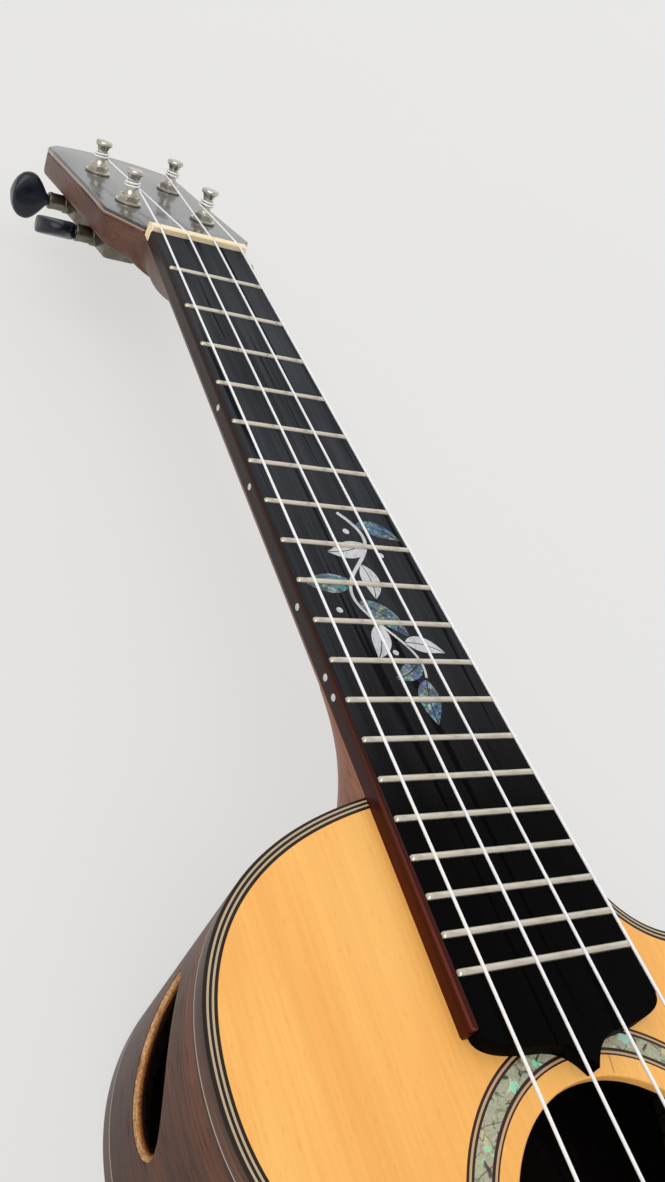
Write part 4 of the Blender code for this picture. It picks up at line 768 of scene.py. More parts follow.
def makeLinings():
    # Kerfed strips: the inner face steps back at a saw cut every few millimetres.
    s = liningLook
    inner = insetLoop(outline, sideShape["thick"] + 0.0001)
    lengths = runLength(closedRow(inner))
    count = int(lengths[-1] / s["pitch"])
    half = s["cutWidth"] / 2
    edges = np.array([-half, -half + 1e-5, half - 1e-5, half])
    runs = np.arange(count)[:, None] * (lengths[-1] / count) + half + s["firstCut"] + edges[None]
    spot, lean = (np.column_stack([np.interp(runs.ravel(), lengths, closedRow(row)[:, k]) for k in (0, 1)])
                  for row in (inner, insetLoop(inner, 1.0) - inner))
    depth = s["strip"] - np.tile([0.0, 1.0, 1.0, 0.0], count) * s["cutDepth"]
    for name, node, glued, way in (("topLiningStrip", "top_lining", topZ - s["under"], -1.0),
                                   ("backLiningStrip", "back_lining", s["under"], 1.0)):
        free = glued + way * s["height"]
        mid = glued + 0.45 * (free - glued)
        rows = [atLevel(spot + lean * (depth * share)[:, None], level) for share, level in (
            (0.0, glued), (0.0, free), (0.35, free), (1.0, mid), (1.0, glued))]
        addGrid(name, np.array(rows), "shadedLiningWood", True, node=node, slot="lining_wood", angle=20.0)


makeSides()
makePortRing()
makeBands()
makeLinings()
print("sides, bands, port and linings made")


# top, rosette, back

topShape = {"thick": 0.0025, "edgeInset": 0.00302, "holeRound": 0.0006, "rosetteInner": 0.0375,
            "rosetteOuter": 0.0445, "grooveDepth": 0.0010}


def makeTop():
    # Each ring lies between the circle of the hole and the inset outline. The section runs up the
    # hole's wall, over the face, down the outer edge and back underneath.
    s = topShape
    edge = insetLoop(outline, s["edgeInset"])
    center = np.array([0.0, holeY])
    unit = (edge - center) / np.linalg.norm(edge - center, axis=1, keepdims=True)
    hole, inner, outer = build["soundholeRadius"], s["rosetteInner"], s["rosetteOuter"]
    low, groove, r = topZ - s["thick"], topZ - s["grooveDepth"], s["holeRound"]
    rows = [(hole, low)] + [(hole + r - r * math.cos(t), topZ - r + r * math.sin(t))
                            for t in np.radians(np.linspace(0, 90, 5))]
    rows += [(inner, topZ), (inner, groove), (outer, groove), (outer, topZ)]
    rings = [atLevel(center + unit * radius, z) for radius, z in rows]
    start = center + unit * outer
    rings += [atLevel(start + (edge - start) * share, topZ) for share in (0.25, 0.5, 0.75, 1.0)]
    rings.append(atLevel(edge, low))
    addGrid("soundboardTop", np.array(rings), "spruceTop", True, node="soundboard", slot="honey_top",
            angle=30.0)
    gap, floor, face = 0.00003, groove + 0.00005, topZ + 0.00002
    section = [(inner + gap, floor), (inner + gap, face), (outer - gap, face), (outer - gap, floor)]
    rings = [atLevel(center + circle(192, radius), z) for radius, z in section]
    addGrid("rosetteRing", np.array(rings), "rosette", True, node="rosette", slot="shell")


def makeBack():
    loop = insetLoop(outline, sideShape["backTopWidth"] + 0.00002)
    plate("backPanel", loop, [(0.0, 0.0), (0.0, topShape["thick"])], "rosewoodBack",
          node="back_plate", slot="rosewood")


makeTop()
makeBack()
# the blocks and braces inside the body take the linings' painted shade
for name in ("neck_block", "tail_block", "top_brace", "back_brace"):
    nodes[name].data.materials.clear()
    nodes[name].data.materials.append(materials["shadedLiningWood"])
print("top, rosette and back made")


# neck and headstock

neckShape = {
    "depthNut": 0.0140, "depthHeel": 0.0155, "heelDepth": 0.0580, "heelRun": 0.0400, "heelCurve": 2.8,
    "round": 1.42, "volute": 0.0205, "edgeWidth": 0.0017, "edgeWidthNut": 0.0011, "headWood": 0.0105,
    "headLength": 0.1160, "headCrown": 0.0080, "headKink": 0.0160, "widthKink": 0.0606,
    "widthMiddle": 0.0590, "widthTop": 0.0592, "corner": 0.0045, "plateLow": 0.0003, "plateTop": 0.0027,
    "postNear": 0.2802, "postFar": 0.6466, "postAcross": 0.0160, "postHole": 0.0040}
headMiddle = 0.45 * neckShape["headLength"]


def halfSpan(distance):
    share = np.asarray(distance, float) / lastFret
    return 0.5 * (build["fretSpanNut"] + (build["fretSpanLast"] - build["fretSpanNut"]) * share)


def edgeWidth(distance):
    share = np.asarray(distance, float) / lastFret
    return neckShape["edgeWidthNut"] + (neckShape["edgeWidth"] - neckShape["edgeWidthNut"]) * share


def neckHalf(distance):
    return halfSpan(distance) + edgeWidth(distance)


def headHalf(up):
    n = neckShape
    places = [0.0, n["headKink"], headMiddle, n["headLength"]]
    widths = [2 * neckHalf(0.0), n["widthKink"], n["widthMiddle"], n["widthTop"]]
    return 0.5 * np.interp(up, places, widths)


def headEnd(x):
    return neckShape["headLength"] - neckShape["headCrown"] * (2.0 * x / neckShape["widthTop"]) ** 2


def headCorner():
    # (across, along) of the places where the rounded corner leaves the crown and the side
    half = headHalf(neckShape["headLength"])
    return half - neckShape["corner"], headEnd(half) - neckShape["corner"]


def neckStations():
    # Each row: y and z of the flat top's middle, the lean of the section's depth direction, half
    # width, depth, superellipse power.
    n = neckShape
    join = nutY - neckEndY - 0.0003
    rows = []

    def addRow(distance, depth, power):
        rows.append((nutY - distance, topZ, 0.0, neckHalf(distance), depth, n["round"] + power))

    for share in (0.0, 0.05, 0.12, 0.22, 0.34, 0.48, 0.66, 0.86):
        swell = (1.0 - share) ** n["heelCurve"]
        depth = n["depthHeel"] + (n["heelDepth"] - n["depthHeel"]) * swell
        addRow(join - share * n["heelRun"], depth, 0.42 * (1 - share))
    shaft, first = join - n["heelRun"], fretDistance(1)
    thin, thick, volute = n["depthNut"], n["depthHeel"], n["volute"]
    addRow(shaft, thick, 0.0)
    addRow(0.5 * shaft, 0.5 * (thin + thick), 0.0)
    addRow(1.3 * first, thin, 0.0)
    addRow(0.7 * first, 0.75 * thin + 0.25 * volute, 0.24)
    addRow(0.25 * first, 0.15 * thin + 0.85 * volute, 0.48)
    for share, lean, swell, power in ((0.0, 0.0, 1.0, 1.9), (0.30, 0.5, 0.82, 2.2), (0.65, 0.9, 0.38, 3.6),
                                      (1.0, 1.0, 0.0, 9.0)):
        up = share * n["headKink"]
        y, z = headPlace((0.0, up, 0.0))[1:]
        depth = n["headWood"] + swell * (volute - n["headWood"])
        rows.append((y, z, lean * build["headTilt"], headHalf(up), depth, power))
    return rows


def roundSection(half, depth, power):
    # Flat top from -half to half, then the lower superellipse |x/half|^p + |z/depth|^p = 1.
    top = np.column_stack([np.linspace(-half, half, 9), np.zeros(9)])
    angle = np.pi * np.arange(1, 48) / 48
    x = half * np.sign(np.cos(angle)) * np.abs(np.cos(angle)) ** (2.0 / power)
    z = -depth * np.sin(angle) ** (2.0 / power)
    return np.vstack([top, np.column_stack([x, z])])


def postPlace(letter):
    # (across, along, side) of a tuner on the headstock
    side = -1.0 if letter in "gc" else 1.0
    along = neckShape["postNear" if letter in "ga" else "postFar"] * neckShape["headLength"]
    return side * neckShape["postAcross"], along, side


def cutPostHoles(item, low, high):
    for letter in "gcae":
        ring = circle(24, neckShape["postHole"]) + postPlace(letter)[:2]
        cutAway(item, headPlace([atLevel(ring, out) for out in (low, high)]))


def makeNeck():
    n = neckShape
    rings = []
    for y, z, lean, half, depth, power in smoothTable(neckStations(), 6):
        x, down = roundSection(half, depth, power).T
        rings.append(np.column_stack([x, y + math.sin(lean) * down, z + math.cos(lean) * down]))
    edge, corner = headCorner()
    ups = [*np.linspace(n["headKink"], headMiddle, 5)[1:], *np.linspace(headMiddle, corner, 6)[1:]]
    # the last ring follows the crown
    for up, half in [(up, headHalf(up)) for up in ups] + [(None, edge)]:
        x, down = roundSection(half, n["headWood"], 9.0).T
        along = headEnd(x) if up is None else np.full(len(x), up)
        rings.append(headPlace(np.column_stack([x, along, down])))
    neck = addSolid("neckAndHead", rings, "neckWood", node="neck", slot="neck_wood", angle=32.0)
    cutPostHoles(neck, -0.02, 0.01)


def makeHeadplate():
    n = neckShape
    edge, corner = headCorner()
    ups = [*np.linspace(0.0005, n["headKink"], 6), *np.linspace(n["headKink"], headMiddle, 6)[1:],
           *np.linspace(headMiddle, corner, 6)[1:]]
    left = [(-headHalf(up), up) for up in ups]
    crown = [(x, headEnd(x)) for x in np.linspace(-edge, edge, 25)]
    loop = np.array(left + crown + [(-x, up) for x, up in left[::-1]])[::-1]
    low, high = n["plateLow"] - 0.0002, n["plateTop"]
    rows = [(0.0002, low), (0.00002, low + 0.0002), (0.0, high - 0.0008), (0.00022, high - 0.0003),
            (0.0006, high - 0.00005), (0.0009, high)]

    def lift(points):
        # the lower end stands upright behind the nut, so its rows follow the tilt
        near = np.clip(1.0 - points[..., 1] / 0.004, 0.0, 1.0)
        points[..., 1] -= near * points[..., 2] * math.tan(build["headTilt"])
        return headPlace(points)

    veneer = plate("headVeneer", loop, rows, "headplate", lift, node="headplate", slot="dark_veneer",
                   angle=24.0)
    cutPostHoles(veneer, -0.005, 0.01)


makeNeck()
makeHeadplate()
print("neck and headstock made")


# fingerboard, frets, strips, side dots

# sideDots: fret and the dots' places along the string beside the middle of its space
boardLook = {
    "bevel": 0.00025, "fretWidth": 0.0018, "fretCrown": 0.0009, "fretEnd": 0.0007, "fretSink": 0.0002,
    "stripChamfer": 0.0008, "dotRadius": 0.0010, "dotShift": 0.0006, "dotDrop": 0.0022,
    "sideDots": [(5, 0.0), (7, 0.0), (10, 0.0), (12, -0.0032), (12, 0.0032)]}


def boardLoop():
    end, length = halfSpan(edgeEnd), build["boardEndLength"]
    shelf = (0.47 * end, edgeEnd + 0.46 * length)
    right = np.vstack([
        [[halfSpan(0.0), 0.0003]],
        bezier((end, edgeEnd), (end, edgeEnd + 0.30 * length), (0.75 * end, edgeEnd + 0.41 * length),
               shelf, 28),
        bezier(shelf, (0.17 * end, edgeEnd + 0.49 * length), (0.09 * end, edgeEnd + 0.72 * length),
               (0.0, boardTip), 24)])
    loop = np.vstack([right, [[0.0, boardTip]], (right * (-1.0, 1.0))[::-1]])
    return np.column_stack([loop[:, 0], nutY - loop[:, 1]])[::-1]


def makeBoard():
    b = boardLook["bevel"]
    rows = [(0.0, boardLow + 0.0001), (0.0, boardTop - b), (0.3 * b, boardTop - 0.3 * b), (b, boardTop)]
    plate("ebonyBoard", boardLoop(), rows, "ebony", node="fingerboard", slot="ebony")


def makeFret(number):
    # A bead whose section is z = crown * sqrt(1 - (2y/width)^2) ^ 0.8. Its ends are bevelled back:
    # from the outer tip inwards, the section grows to full height.
    distance = fretDistance(number)
    half = halfSpan(distance)
    width, crown, bevel = boardLook["fretWidth"] / 2, boardLook["fretCrown"], boardLook["fretEnd"]
    across = np.cos(np.linspace(0.0, np.pi, 13))
    height = crown * np.sqrt(np.clip(1.0 - across ** 2, 0.0, 1.0)) ** 0.8
    x = -half + bevel * np.array([0.0, 0.12, 0.35, 0.65, 1.0])
    x = np.concatenate([x, -x[::-1]])
    grow = np.array([0.05, 0.42, 0.74, 0.94, 1.0, 1.0, 0.94, 0.74, 0.42, 0.05])
    points = np.stack([np.repeat(x[:, None], 13, 1),
                       nutY - distance + np.outer(0.55 + 0.45 * grow, across * width),
                       boardTop + np.outer(grow, height)], axis=-1)
    base = points[:, 1:-1].copy()[:, ::-1]
    base[..., 2] = boardTop - boardLook["fretSink"]
    addSolid("fretWire%02d" % number, np.concatenate([points, base], axis=1), "fretMetal",
             node="fret_%02d" % number, slot="fret_metal", angle=50.0)


def makeStrips():
    # A strip beside the board: section with an outer chamfer, straight from the nut to the body end,
    # where its last 0.6 mm are rounded.
    distances = [*np.linspace(0.0002, edgeEnd - 0.0006, 24), edgeEnd - 0.0002, edgeEnd]
    for name, node, side in (("bassStrip", "board_edge_bass", -1.0),
                             ("trebleStrip", "board_edge_treble", 1.0)):
        rings = []
        for distance in distances:
            pull = 0.5 * max(0.0, distance - (edgeEnd - 0.0006))
            inner = halfSpan(distance) + 0.00005
            outer = neckHalf(distance) - pull
            high = boardTop - pull
            chamfer = boardLook["stripChamfer"] * edgeWidth(distance) / neckShape["edgeWidth"]
            section = [(inner, boardLow), (outer, boardLow), (outer, high - chamfer - 0.00012),
                       (outer - 0.00005, high - chamfer), (outer - chamfer + 0.00004, high - 0.00005),
                       (outer - chamfer - 0.0001, high), (inner, high)]
            rings.append([(side * x, nutY - distance, z) for x, z in section])
        addSolid(name, rings, "stripWood", node=node, slot="edge_wood", angle=20.0)


def makeSideDots():
    # shell dots in the bass strip's outer face
    for index, (fret, offset) in enumerate(boardLook["sideDots"]):
        middle = 0.5 * (fretDistance(fret) + fretDistance(fret - 1))
        distance = middle + boardLook["dotShift"] + offset
        x = -neckHalf(distance)
        rings = [np.column_stack([np.full(24, x - out), circle(24, share * boardLook["dotRadius"])
                                  + [nutY - distance, boardTop - boardLook["dotDrop"]]])
                 for share, out in ((1.0, -0.0004), (1.0, 0.00002), (0.9, 0.00005), (0.0, 0.00006))]
        faces = gridFaces(4, 24).tolist() + [list(range(24))]
        finish("sideDot%d" % (index + 1), rings, faces, "pearl", slot="shell")


makeBoard()
for number in range(1, build["fretCount"] + 1):
    makeFret(number)
makeStrips()
makeSideDots()
print("fingerboard and frets made")


# inlay, nut, saddle and bridge

inlayLook = {
    "low": 0.0003, "proud": 0.00003, "veinGap": 0.00030, "stemWidth": 0.0013, "stemStart": 0.1475,
    "stemEnd": 0.2085, "stemSway": 0.0075, "stemWaves": 1.25,
    # place along the stem (0..1), side, length, half width, angle off the stem, bend, shell
    "leaves": [(0.05, 1, 0.0150, 0.0031, 48, -40, "abalone"), (0.17, -1, 0.0150, 0.0033, 50, 35, "pearl"),
               (0.31, 1, 0.0135, 0.0030, 46, -35, "pearl"), (0.42, -1, 0.0165, 0.0036, 44, 40, "abalone"),
               (0.56, 1, 0.0170, 0.0037, 42, -42, "abalone"), (0.68, -1, 0.0135, 0.0030, 50, 35, "pearl"),
               (0.80, 1, 0.0125, 0.0028, 48, -35, "pearl"), (0.90, -1, 0.0120, 0.0027, 62, 35, "abalone"),
               (1.00, 1, 0.0150, 0.0033, 4, 20, "abalone")],
    # place along the stem, distance off it, radius
    "berries": [(0.10, -0.0050, 0.0011), (0.25, 0.0060, 0.0010), (0.62, -0.0080, 0.0010),
                (0.86, -0.0060, 0.0009)]}


def stemPoint(share):
    # A wave that runs up the board: x = sway * sin, d = straight.
    s = inlayLook
    share = np.asarray(share, float)
    x = s["stemSway"] * np.sin(2.0 * np.pi * s["stemWaves"] * share + 0.5) * (1.0 - 0.25 * share)
    return np.stack([x, s["stemStart"] + (s["stemEnd"] - s["stemStart"]) * share], axis=-1)


def stemDirection(share):
    step = stemPoint(share + 0.005) - stemPoint(share - 0.005)
    return step / np.linalg.norm(step, axis=-1, keepdims=True)


def leafHalves(share, side, length, width, angle, bend):
    # The vein bends evenly along its length; each half reaches from the vein to
    # width * sin(pi * u ^ 0.8) ^ 0.9 beside it. Rows of (inner edge, outer edge).
    s = inlayLook
    along = stemDirection(share)
    u = np.linspace(0.0, 1.0, 25)
    turn = math.radians(angle) + math.radians(bend) * (u - 0.3)
    heading = math.atan2(along[1], along[0]) - side * turn
    step = np.stack([np.cos(heading), np.sin(heading)], axis=1) * length / 24
    vein = stemPoint(share) + step[0] * 1.5 + np.cumsum(step, axis=0) - step[0]
    normal = np.stack([-step[:, 1], step[:, 0]], axis=1) / (length / 24)
    gap = 0.5 * s["veinGap"]
    reach = np.maximum(width * np.sin(np.pi * u ** 0.8) ** 0.9, gap * 1.3)[:, None]
    return [(vein + way * normal * gap, vein + way * normal * reach) for way in (-1.0, 1.0)]


def upright(loop, z):
    # (x, distance) points laid on the board at height z
    return atLevel(np.column_stack([loop[:, 0], nutY - loop[:, 1]]), z)


def stripSolid(inner, outer, low, high):
    # a flat strip between two edges (x, distance): a four-cornered section carried along them
    corners = ((inner, low), (outer, low), (outer, high), (inner, high))
    rings = np.stack([upright(edge, z) for edge, z in corners], axis=1)
    return rings, solidFaces(len(rings), 4)


def makeInlay():
    # Stem, leaves and berries stand at slightly different heights, so that none share a face.
    s = inlayLook
    low, high = boardTop - s["low"], boardTop + s["proud"]
    share = np.linspace(-0.03, 1.0, 61)
    middle, along = stemPoint(share), stemDirection(share)
    half = 0.5 * s["stemWidth"] * (1.0 - 0.45 * share)
    reach = np.stack([-along[:, 1], along[:, 0]], axis=1) * half[:, None]
    groups = {"abalone": [], "pearl": [stripSolid(middle - reach, middle + reach, low, high + 0.00002)]}
    for index, (*leaf, shell) in enumerate(s["leaves"]):
        for inner, outer in leafHalves(*leaf):
            groups[shell].append(stripSolid(inner, outer, low, high + 0.000002 * index))
    for at, off, radius in s["berries"]:
        loop = stemPoint(at) + [off, 0.0] + circle(20, radius)
        points = np.array([upright(loop, z) for z in (low, high + 0.00001)])
        groups["pearl"].append((points, solidFaces(2, 20)))
    for shell, parts in groups.items():
        finish("vine" + shell.capitalize(), *joinMeshes(parts), shell, slot="shell", angle=20.0)


stringLook = {"radius": 0.0004, "spreadNut": 0.0322, "spreadSaddle": 0.0486, "overNut": 0.0017,
              "overBody": 0.0101, "turns": 2, "turnRise": 0.00115, "onPost": 0.0061, "waist": 0.0020,
              "postGap": 0.0003, "turnSteps": 32, "knotSize": 0.00022, "knotDepth": 0.00035}
letters = ["g", "c", "e", "a"]
nutZ = boardTop + stringLook["overNut"]
saddleZ = topZ + stringLook["overBody"]


def stringShare(index):
    return index / 3.0 - 0.5


def postSlope(letter):
    end = headPlace((*postPlace(letter)[:2], neckShape["plateTop"] + stringLook["onPost"]))
    return (nutZ - end[2]) / (end[1] - nutY)


def sectionGrid(xs, y, z):
    # one section of y and z at each x
    return np.stack([np.repeat(xs[:, None], len(y), 1), np.repeat(y[None], len(xs), 0),
                     np.repeat(z[None], len(xs), 0)], axis=-1)


nutLook = {"aboveString": 0.0004, "slotRadius": 0.00042, "round": 0.0004}


def makeNut():
    # The section (y, z) runs round the nut; its top falls away behind the front edge as the 1.6th
    # power of the way back. A slot of a circle's section lies under each string.
    s = nutLook
    high = nutZ + s["aboveString"]
    low = topZ + build["fitGap"]
    length = build["nutLength"] - build["fitGap"]
    fall = 1.5 * build["nutLength"] * math.tan(0.75 * build["headTilt"])
    back = np.linspace(0.0, 1.0, 14)
    top = high - fall * np.clip((back - 0.35) / 0.65, 0.0, 1.0) ** 1.6
    lead = 1.0 - np.clip(back * length / s["round"], 0, 1)
    top -= s["round"] * (1.0 - np.sqrt(np.clip(1.0 - lead ** 2, 0, 1)))
    y = np.concatenate([[0.0, 0.0], back * length, [length, length]])
    z = np.concatenate([[low, low + 0.002], top, [low + 0.002, low]])
    half = neckHalf(0.0)
    xs = list(np.linspace(-half + 0.0006, half - 0.0006, 25))
    r = s["slotRadius"]
    slots = [stringLook["spreadNut"] * stringShare(index) for index in range(4)]
    for x in slots:
        xs = [v for v in xs if abs(v - x) > 2.0 * r]
        xs += [x + share * r for share in (-1.3, -1.02, -1.0, -0.85, -0.5, 0.0, 0.5, 0.85, 1.0, 1.02, 1.3)]
    rim = np.array([half, half - 0.0001, half - 0.0003])
    xs = np.array([*-rim, *sorted(xs), *rim[::-1]])
    points = sectionGrid(xs, y + nutY, z)
    for x, letter in zip(slots, letters):
        gap = np.abs(xs - x)
        inside = gap <= r * 1.001
        depth = np.sqrt(np.clip(r * r - gap ** 2, 0.0, None))
        cut = nutZ - y[None] * postSlope(letter) - 0.00002 - depth[:, None]
        points[inside, :, 2] = np.minimum(points[inside, :, 2], cut[inside])
    for row, shrink in ((0, 0.0004), (1, 0.0001), (2, 0.0), (-1, 0.0004), (-2, 0.0001), (-3, 0.0)):
        points[row, :, 2] = np.minimum(points[row, :, 2], top.max() - shrink)
        points[row, :, 1] = np.clip(points[row, :, 1], nutY + shrink, nutY + length - shrink)
    addSolid("boneNut", points, "bone", node="nut", slot="bone", angle=40.0)


bridgeLook = {"length": 0.1000, "middle": 0.0640, "ahead": 0.0070, "behind": 0.0160, "ridge": 0.0065,
              "tie": 0.0075, "wing": 0.0032, "holeHeight": 0.0050, "saddleThick": 0.0028,
              "saddleLength": 0.0570, "socketFloor": 0.0028, "edge": 0.0004, "lineWidth": 0.0012,
              "lineInset": 0.0008, "lines": {"tieLineFront": 0.52, "tieLineRear": 0.90}}


def makeBridge():
    # Sections (y, z) at stations across. The raised middle turns to the wings over a scooped ramp,
    # and the wings narrow and thin towards rounded ends.
    s = bridgeLook
    base = topZ + build["fitGap"]
    half, middle = s["length"] / 2, s["middle"] / 2
    ramp = 0.15 * (half - middle)
    # across, width share, share of the flat wing's section, the wing's thickness share
    stations = [(half, 0.60, 1.0, 0.70), (half - 0.3 * ramp, 0.76, 1.0, 0.85),
                (half - ramp, 0.87, 1.0, 0.95), (half - 2.0 * ramp, 0.95, 1.0, 1.0)]
    stations += [(middle + k * ramp, 1.0, wing, 1.0) for k, wing in (
        (2.2, 1.0), (1.0, 1.0), (0.75, 0.97), (0.45, 0.80), (0.2, 0.42), (0.0, 0.0))]
    rings = []
    for x, share, wing, thin in stations + [(-x, *rest) for x, *rest in stations[::-1]]:
        a, b, low, tie = s["ahead"] * share, s["behind"] * share, s["wing"], s["tie"]
        full = [(a, 0.0), (a, 0.45 * low), (0.62 * a, s["ridge"]), (-0.42 * a, s["ridge"]),
                (-0.62 * a, low), (-0.42 * b, low), (-0.48 * b, tie), (-0.94 * b, tie),
                (-b, 0.85 * tie), (-b, 0.0)]
        flat = np.array([0.0, 0.45, 0.9, 1.0, 1.0, 1.0, 1.0, 0.85, 0.45, 0.0]) * low * thin
        rings.append([(x, saddleY + y, base + z + (f - z) * wing) for (y, z), f in zip(full, flat)])
    bridge = addSolid("ebonyBridge", rings, "ebony", node="bridge", slot="ebony", angle=30.0)
    bevel = bridge.modifiers.new("softEdges", "BEVEL")
    bevel.width = s["edge"]
    bevel.segments = 3
    bevel.limit_method = "ANGLE"
    bevel.angle_limit = math.radians(35.0)
    bevel.harden_normals = True
    # two bone lines on the tie block's edges, at shares of the length behind the saddle
    high, end = base + s["tie"] + 0.00004, middle - s["lineInset"]
    for name, share in s["lines"].items():
        low, far = (saddleY - share * s["behind"] + way * s["lineWidth"] for way in (-0.5, 0.5))
        loop = np.array([(-end, low), (end, low), (end, far), (-end, far)])
        plate(name, loop, [(0.0, high - 0.0006), (0.0, high)], "bone", slot="bone")


def makeSaddle():
    s = bridgeLook
    low = topZ + s["socketFloor"] + build["fitGap"]
    high = saddleZ - stringLook["radius"] - 0.00012
    half = s["saddleThick"] / 2
    fall = half * (saddleZ - topZ - s["holeHeight"]) / (0.42 * s["behind"])
    across = np.linspace(1.0, -1.0, 13)
    # the crown falls gently ahead and as steeply as the strings behind
    drop = np.where(across > 0, 0.5 * half * across ** 2, fall * np.abs(across) ** 1.1 + 0.12 * half)
    drop[across == 0.0] = 0.0
    y = np.concatenate([[half], half * across, [-half]])
    z = np.concatenate([[low], high - drop, [low]])
    long = s["saddleLength"] / 2
    ends = np.array([long, long - 0.0002, long - 0.0007])
    xs = np.concatenate([-ends, np.linspace(-long + 0.0015, long - 0.0015, 9), ends[::-1]])
    shrink = np.concatenate([[0.0011, 0.0005, 0.0001], np.zeros(9), [0.0001, 0.0005, 0.0011]])[:, None]
    points = sectionGrid(xs, y, z)
    points[..., 1] = saddleY + points[..., 1] * (1.0 - shrink * 250.0)
    points[..., 2] = np.minimum(points[..., 2], high - shrink)
    addSolid("boneSaddle", points, "bone", node="saddle", slot="bone", angle=50.0)


makeInlay()
makeNut()
makeBridge()
makeSaddle()
print("inlay, nut, bridge and saddle made")


# strings


def tube(name, path, radius, material, reference, count, closed=False, **rest):
    # circles square to the path: side = tangent x reference, up = side x tangent
    if closed:
        tangent = np.roll(path, -1, axis=0) - np.roll(path, 1, axis=0)
    else:
        tangent = np.gradient(path, axis=0)
    tangent /= np.linalg.norm(tangent, axis=1, keepdims=True)
    side = np.cross(tangent, reference)
    side /= np.linalg.norm(side, axis=1, keepdims=True)
    up = np.cross(side, tangent)
    ring = circle(count, radius)
    rings = path[:, None] + ring[None, :, :1] * side[:, None] + ring[None, :, 1:] * up[:, None]
    if closed:
        return addGrid(name, rings, material, True, angle=60.0, **rest)
    return addSolid(name, rings, material, angle=60.0, **rest)


def stringPath(index, letter):
    # from the knot behind the bridge over saddle and nut to the windings on the post
    s = stringLook
    x = s["spreadSaddle"] * stringShare(index)
    behind, level = bridgeLook["behind"], topZ + bridgeLook["holeHeight"]
    points = [(x, saddleY + y, z) for y, z in (
        (-behind - 0.0010, level), (-0.45 * behind, level), (-0.40 * behind, level + 0.0001),
        (-0.0016, saddleZ - 0.0012), (-0.0006, saddleZ - 0.0003), (0.0004, saddleZ), (0.0060, saddleZ))]
    start = np.array([s["spreadNut"] * stringShare(index), nutY, nutZ])
    first = np.array(points[-1])
    points += [tuple(first + (start - first) * t) for t in (0.3, 0.6, 0.9, 0.99)]
    slope, length = postSlope(letter), build["nutLength"]
    points += [tuple(start + step) for step in (
        (0.0, 0.0002, 0.0), (0.0, 0.0012, -0.0012 * slope), (0.0, length, -length * slope))]
    postX, postUp, side = postPlace(letter)
    radius = s["waist"] + s["postGap"] + s["radius"]
    reach = np.array([postX - start[0], postUp])
    lean = math.asin(radius / np.linalg.norm(reach))
    firstTurn = math.atan2(reach[1], reach[0]) + side * (lean + math.pi / 2)
    turns = np.arange(s["turnSteps"] * s["turns"] + 1) / s["turnSteps"]
    turn = firstTurn - side * 2.0 * np.pi * turns
    out = neckShape["plateTop"] + s["onPost"] + s["turnRise"] * turns
    # the tail end tucks in towards the post
    turn = np.append(turn, turn[-1] - side * 0.9)
    reach = np.append(np.full(len(out), radius), 0.6 * radius)
    spiral = np.stack([postX + reach * np.cos(turn), postUp + reach * np.sin(turn),
                       np.append(out, out[-1])], axis=1)
    return np.vstack([points, headPlace(spiral)])


def makeStrings():
    up = np.array([0.0, math.sin(build["headTilt"]), math.cos(build["headTilt"])])
    # knot behind the bridge: a closed loop that passes over itself three times
    t = 2.0 * np.pi * np.arange(48) / 48
    size, depth = stringLook["knotSize"], stringLook["knotDepth"]
    knot = np.stack([size * (np.sin(t) + 2.0 * np.sin(2.0 * t)), -depth * np.sin(3.0 * t),
                     size * (np.cos(t) - 2.0 * np.cos(2.0 * t))], axis=1)
    for index, letter in enumerate(letters):
        path, radius = stringPath(index, letter), stringLook["radius"]
        tube("string" + letter.upper(), path, radius, "nylon", up, 12, node="string_" + letter,
             slot="nylon")
        center = path[0] - [0.0, 0.0002, 0.0]
        tube("knot" + letter.upper(), center + knot, radius, "nylon", np.array([0.0, 1.0, 0.0]), 8, True,
             slot="nylon")


makeStrings()
print("strings made")


# tuners

tunerLook = {
    "sleeveRadius": 0.0037, "bore": 0.0029, "washer": 0.0052, "washerThick": 0.0007, "hexRadius": 0.0043,
    "hexHeight": 0.0022, "shaft": 0.0026, "waist": 0.0020, "cap": 0.0034, "height": 0.0130,
    "teeth": 14, "wheelRadius": 0.0048, "wheelWidth": 0.0030, "wormRadius": 0.0022, "wormDeep": 0.0041,
    "addendum": 0.00055, "dedendum": 0.00080, "wall": 0.0009, "depth": 0.0080, "corner": 0.0022,
    "wheelPlay": 0.00055, "wormPlay": 0.00045, "collar": 0.0037, "collarEnd": 0.0155, "tabRadius": 0.0024,
    "tabReach": 0.0020, "knobLength": 0.0150, "knobWidth": 0.0190, "knobThick": 0.0068,
    "wormShaft": 0.0015, "knobPower": 2.7,
    "angles": {"g": -14.0, "c": 88.0, "e": 68.0, "a": -12.0},
    # share of the knob's length, of its width and of its thickness
    "knobShape": [(0.0, 0.20, 0.72), (0.012, 0.22, 0.84), (0.04, 0.25, 0.94), (0.09, 0.33, 0.99),
                  (0.16, 0.50, 1.0), (0.28, 0.75, 1.0), (0.40, 0.92, 1.0), (0.52, 0.995, 1.0),
                  (0.64, 0.985, 1.0), (0.76, 0.91, 1.0), (0.87, 0.74, 0.985), (0.94, 0.54, 0.95),
                  (0.975, 0.36, 0.91), (0.992, 0.19, 0.84), (1.0, 0.10, 0.70), (1.0, 0.0, 0.0)]}
wormOffset = tunerLook["wheelRadius"] + tunerLook["wormRadius"]
wormLevel = -neckShape["headWood"] - tunerLook["wormDeep"]
housingTop = -neckShape["headWood"] - build["fitGap"]
# half the case, from the post's axis: the wheel, its play and the wall
caseHalf = tunerLook["wheelRadius"] + tunerLook["addendum"] + tunerLook["wheelPlay"] + tunerLook["wall"]


def atTuner(letter, points):
    # puts (across, along, out) points about the post's axis in place
    return headPlace(points + np.array([*postPlace(letter)[:2], 0.0]))


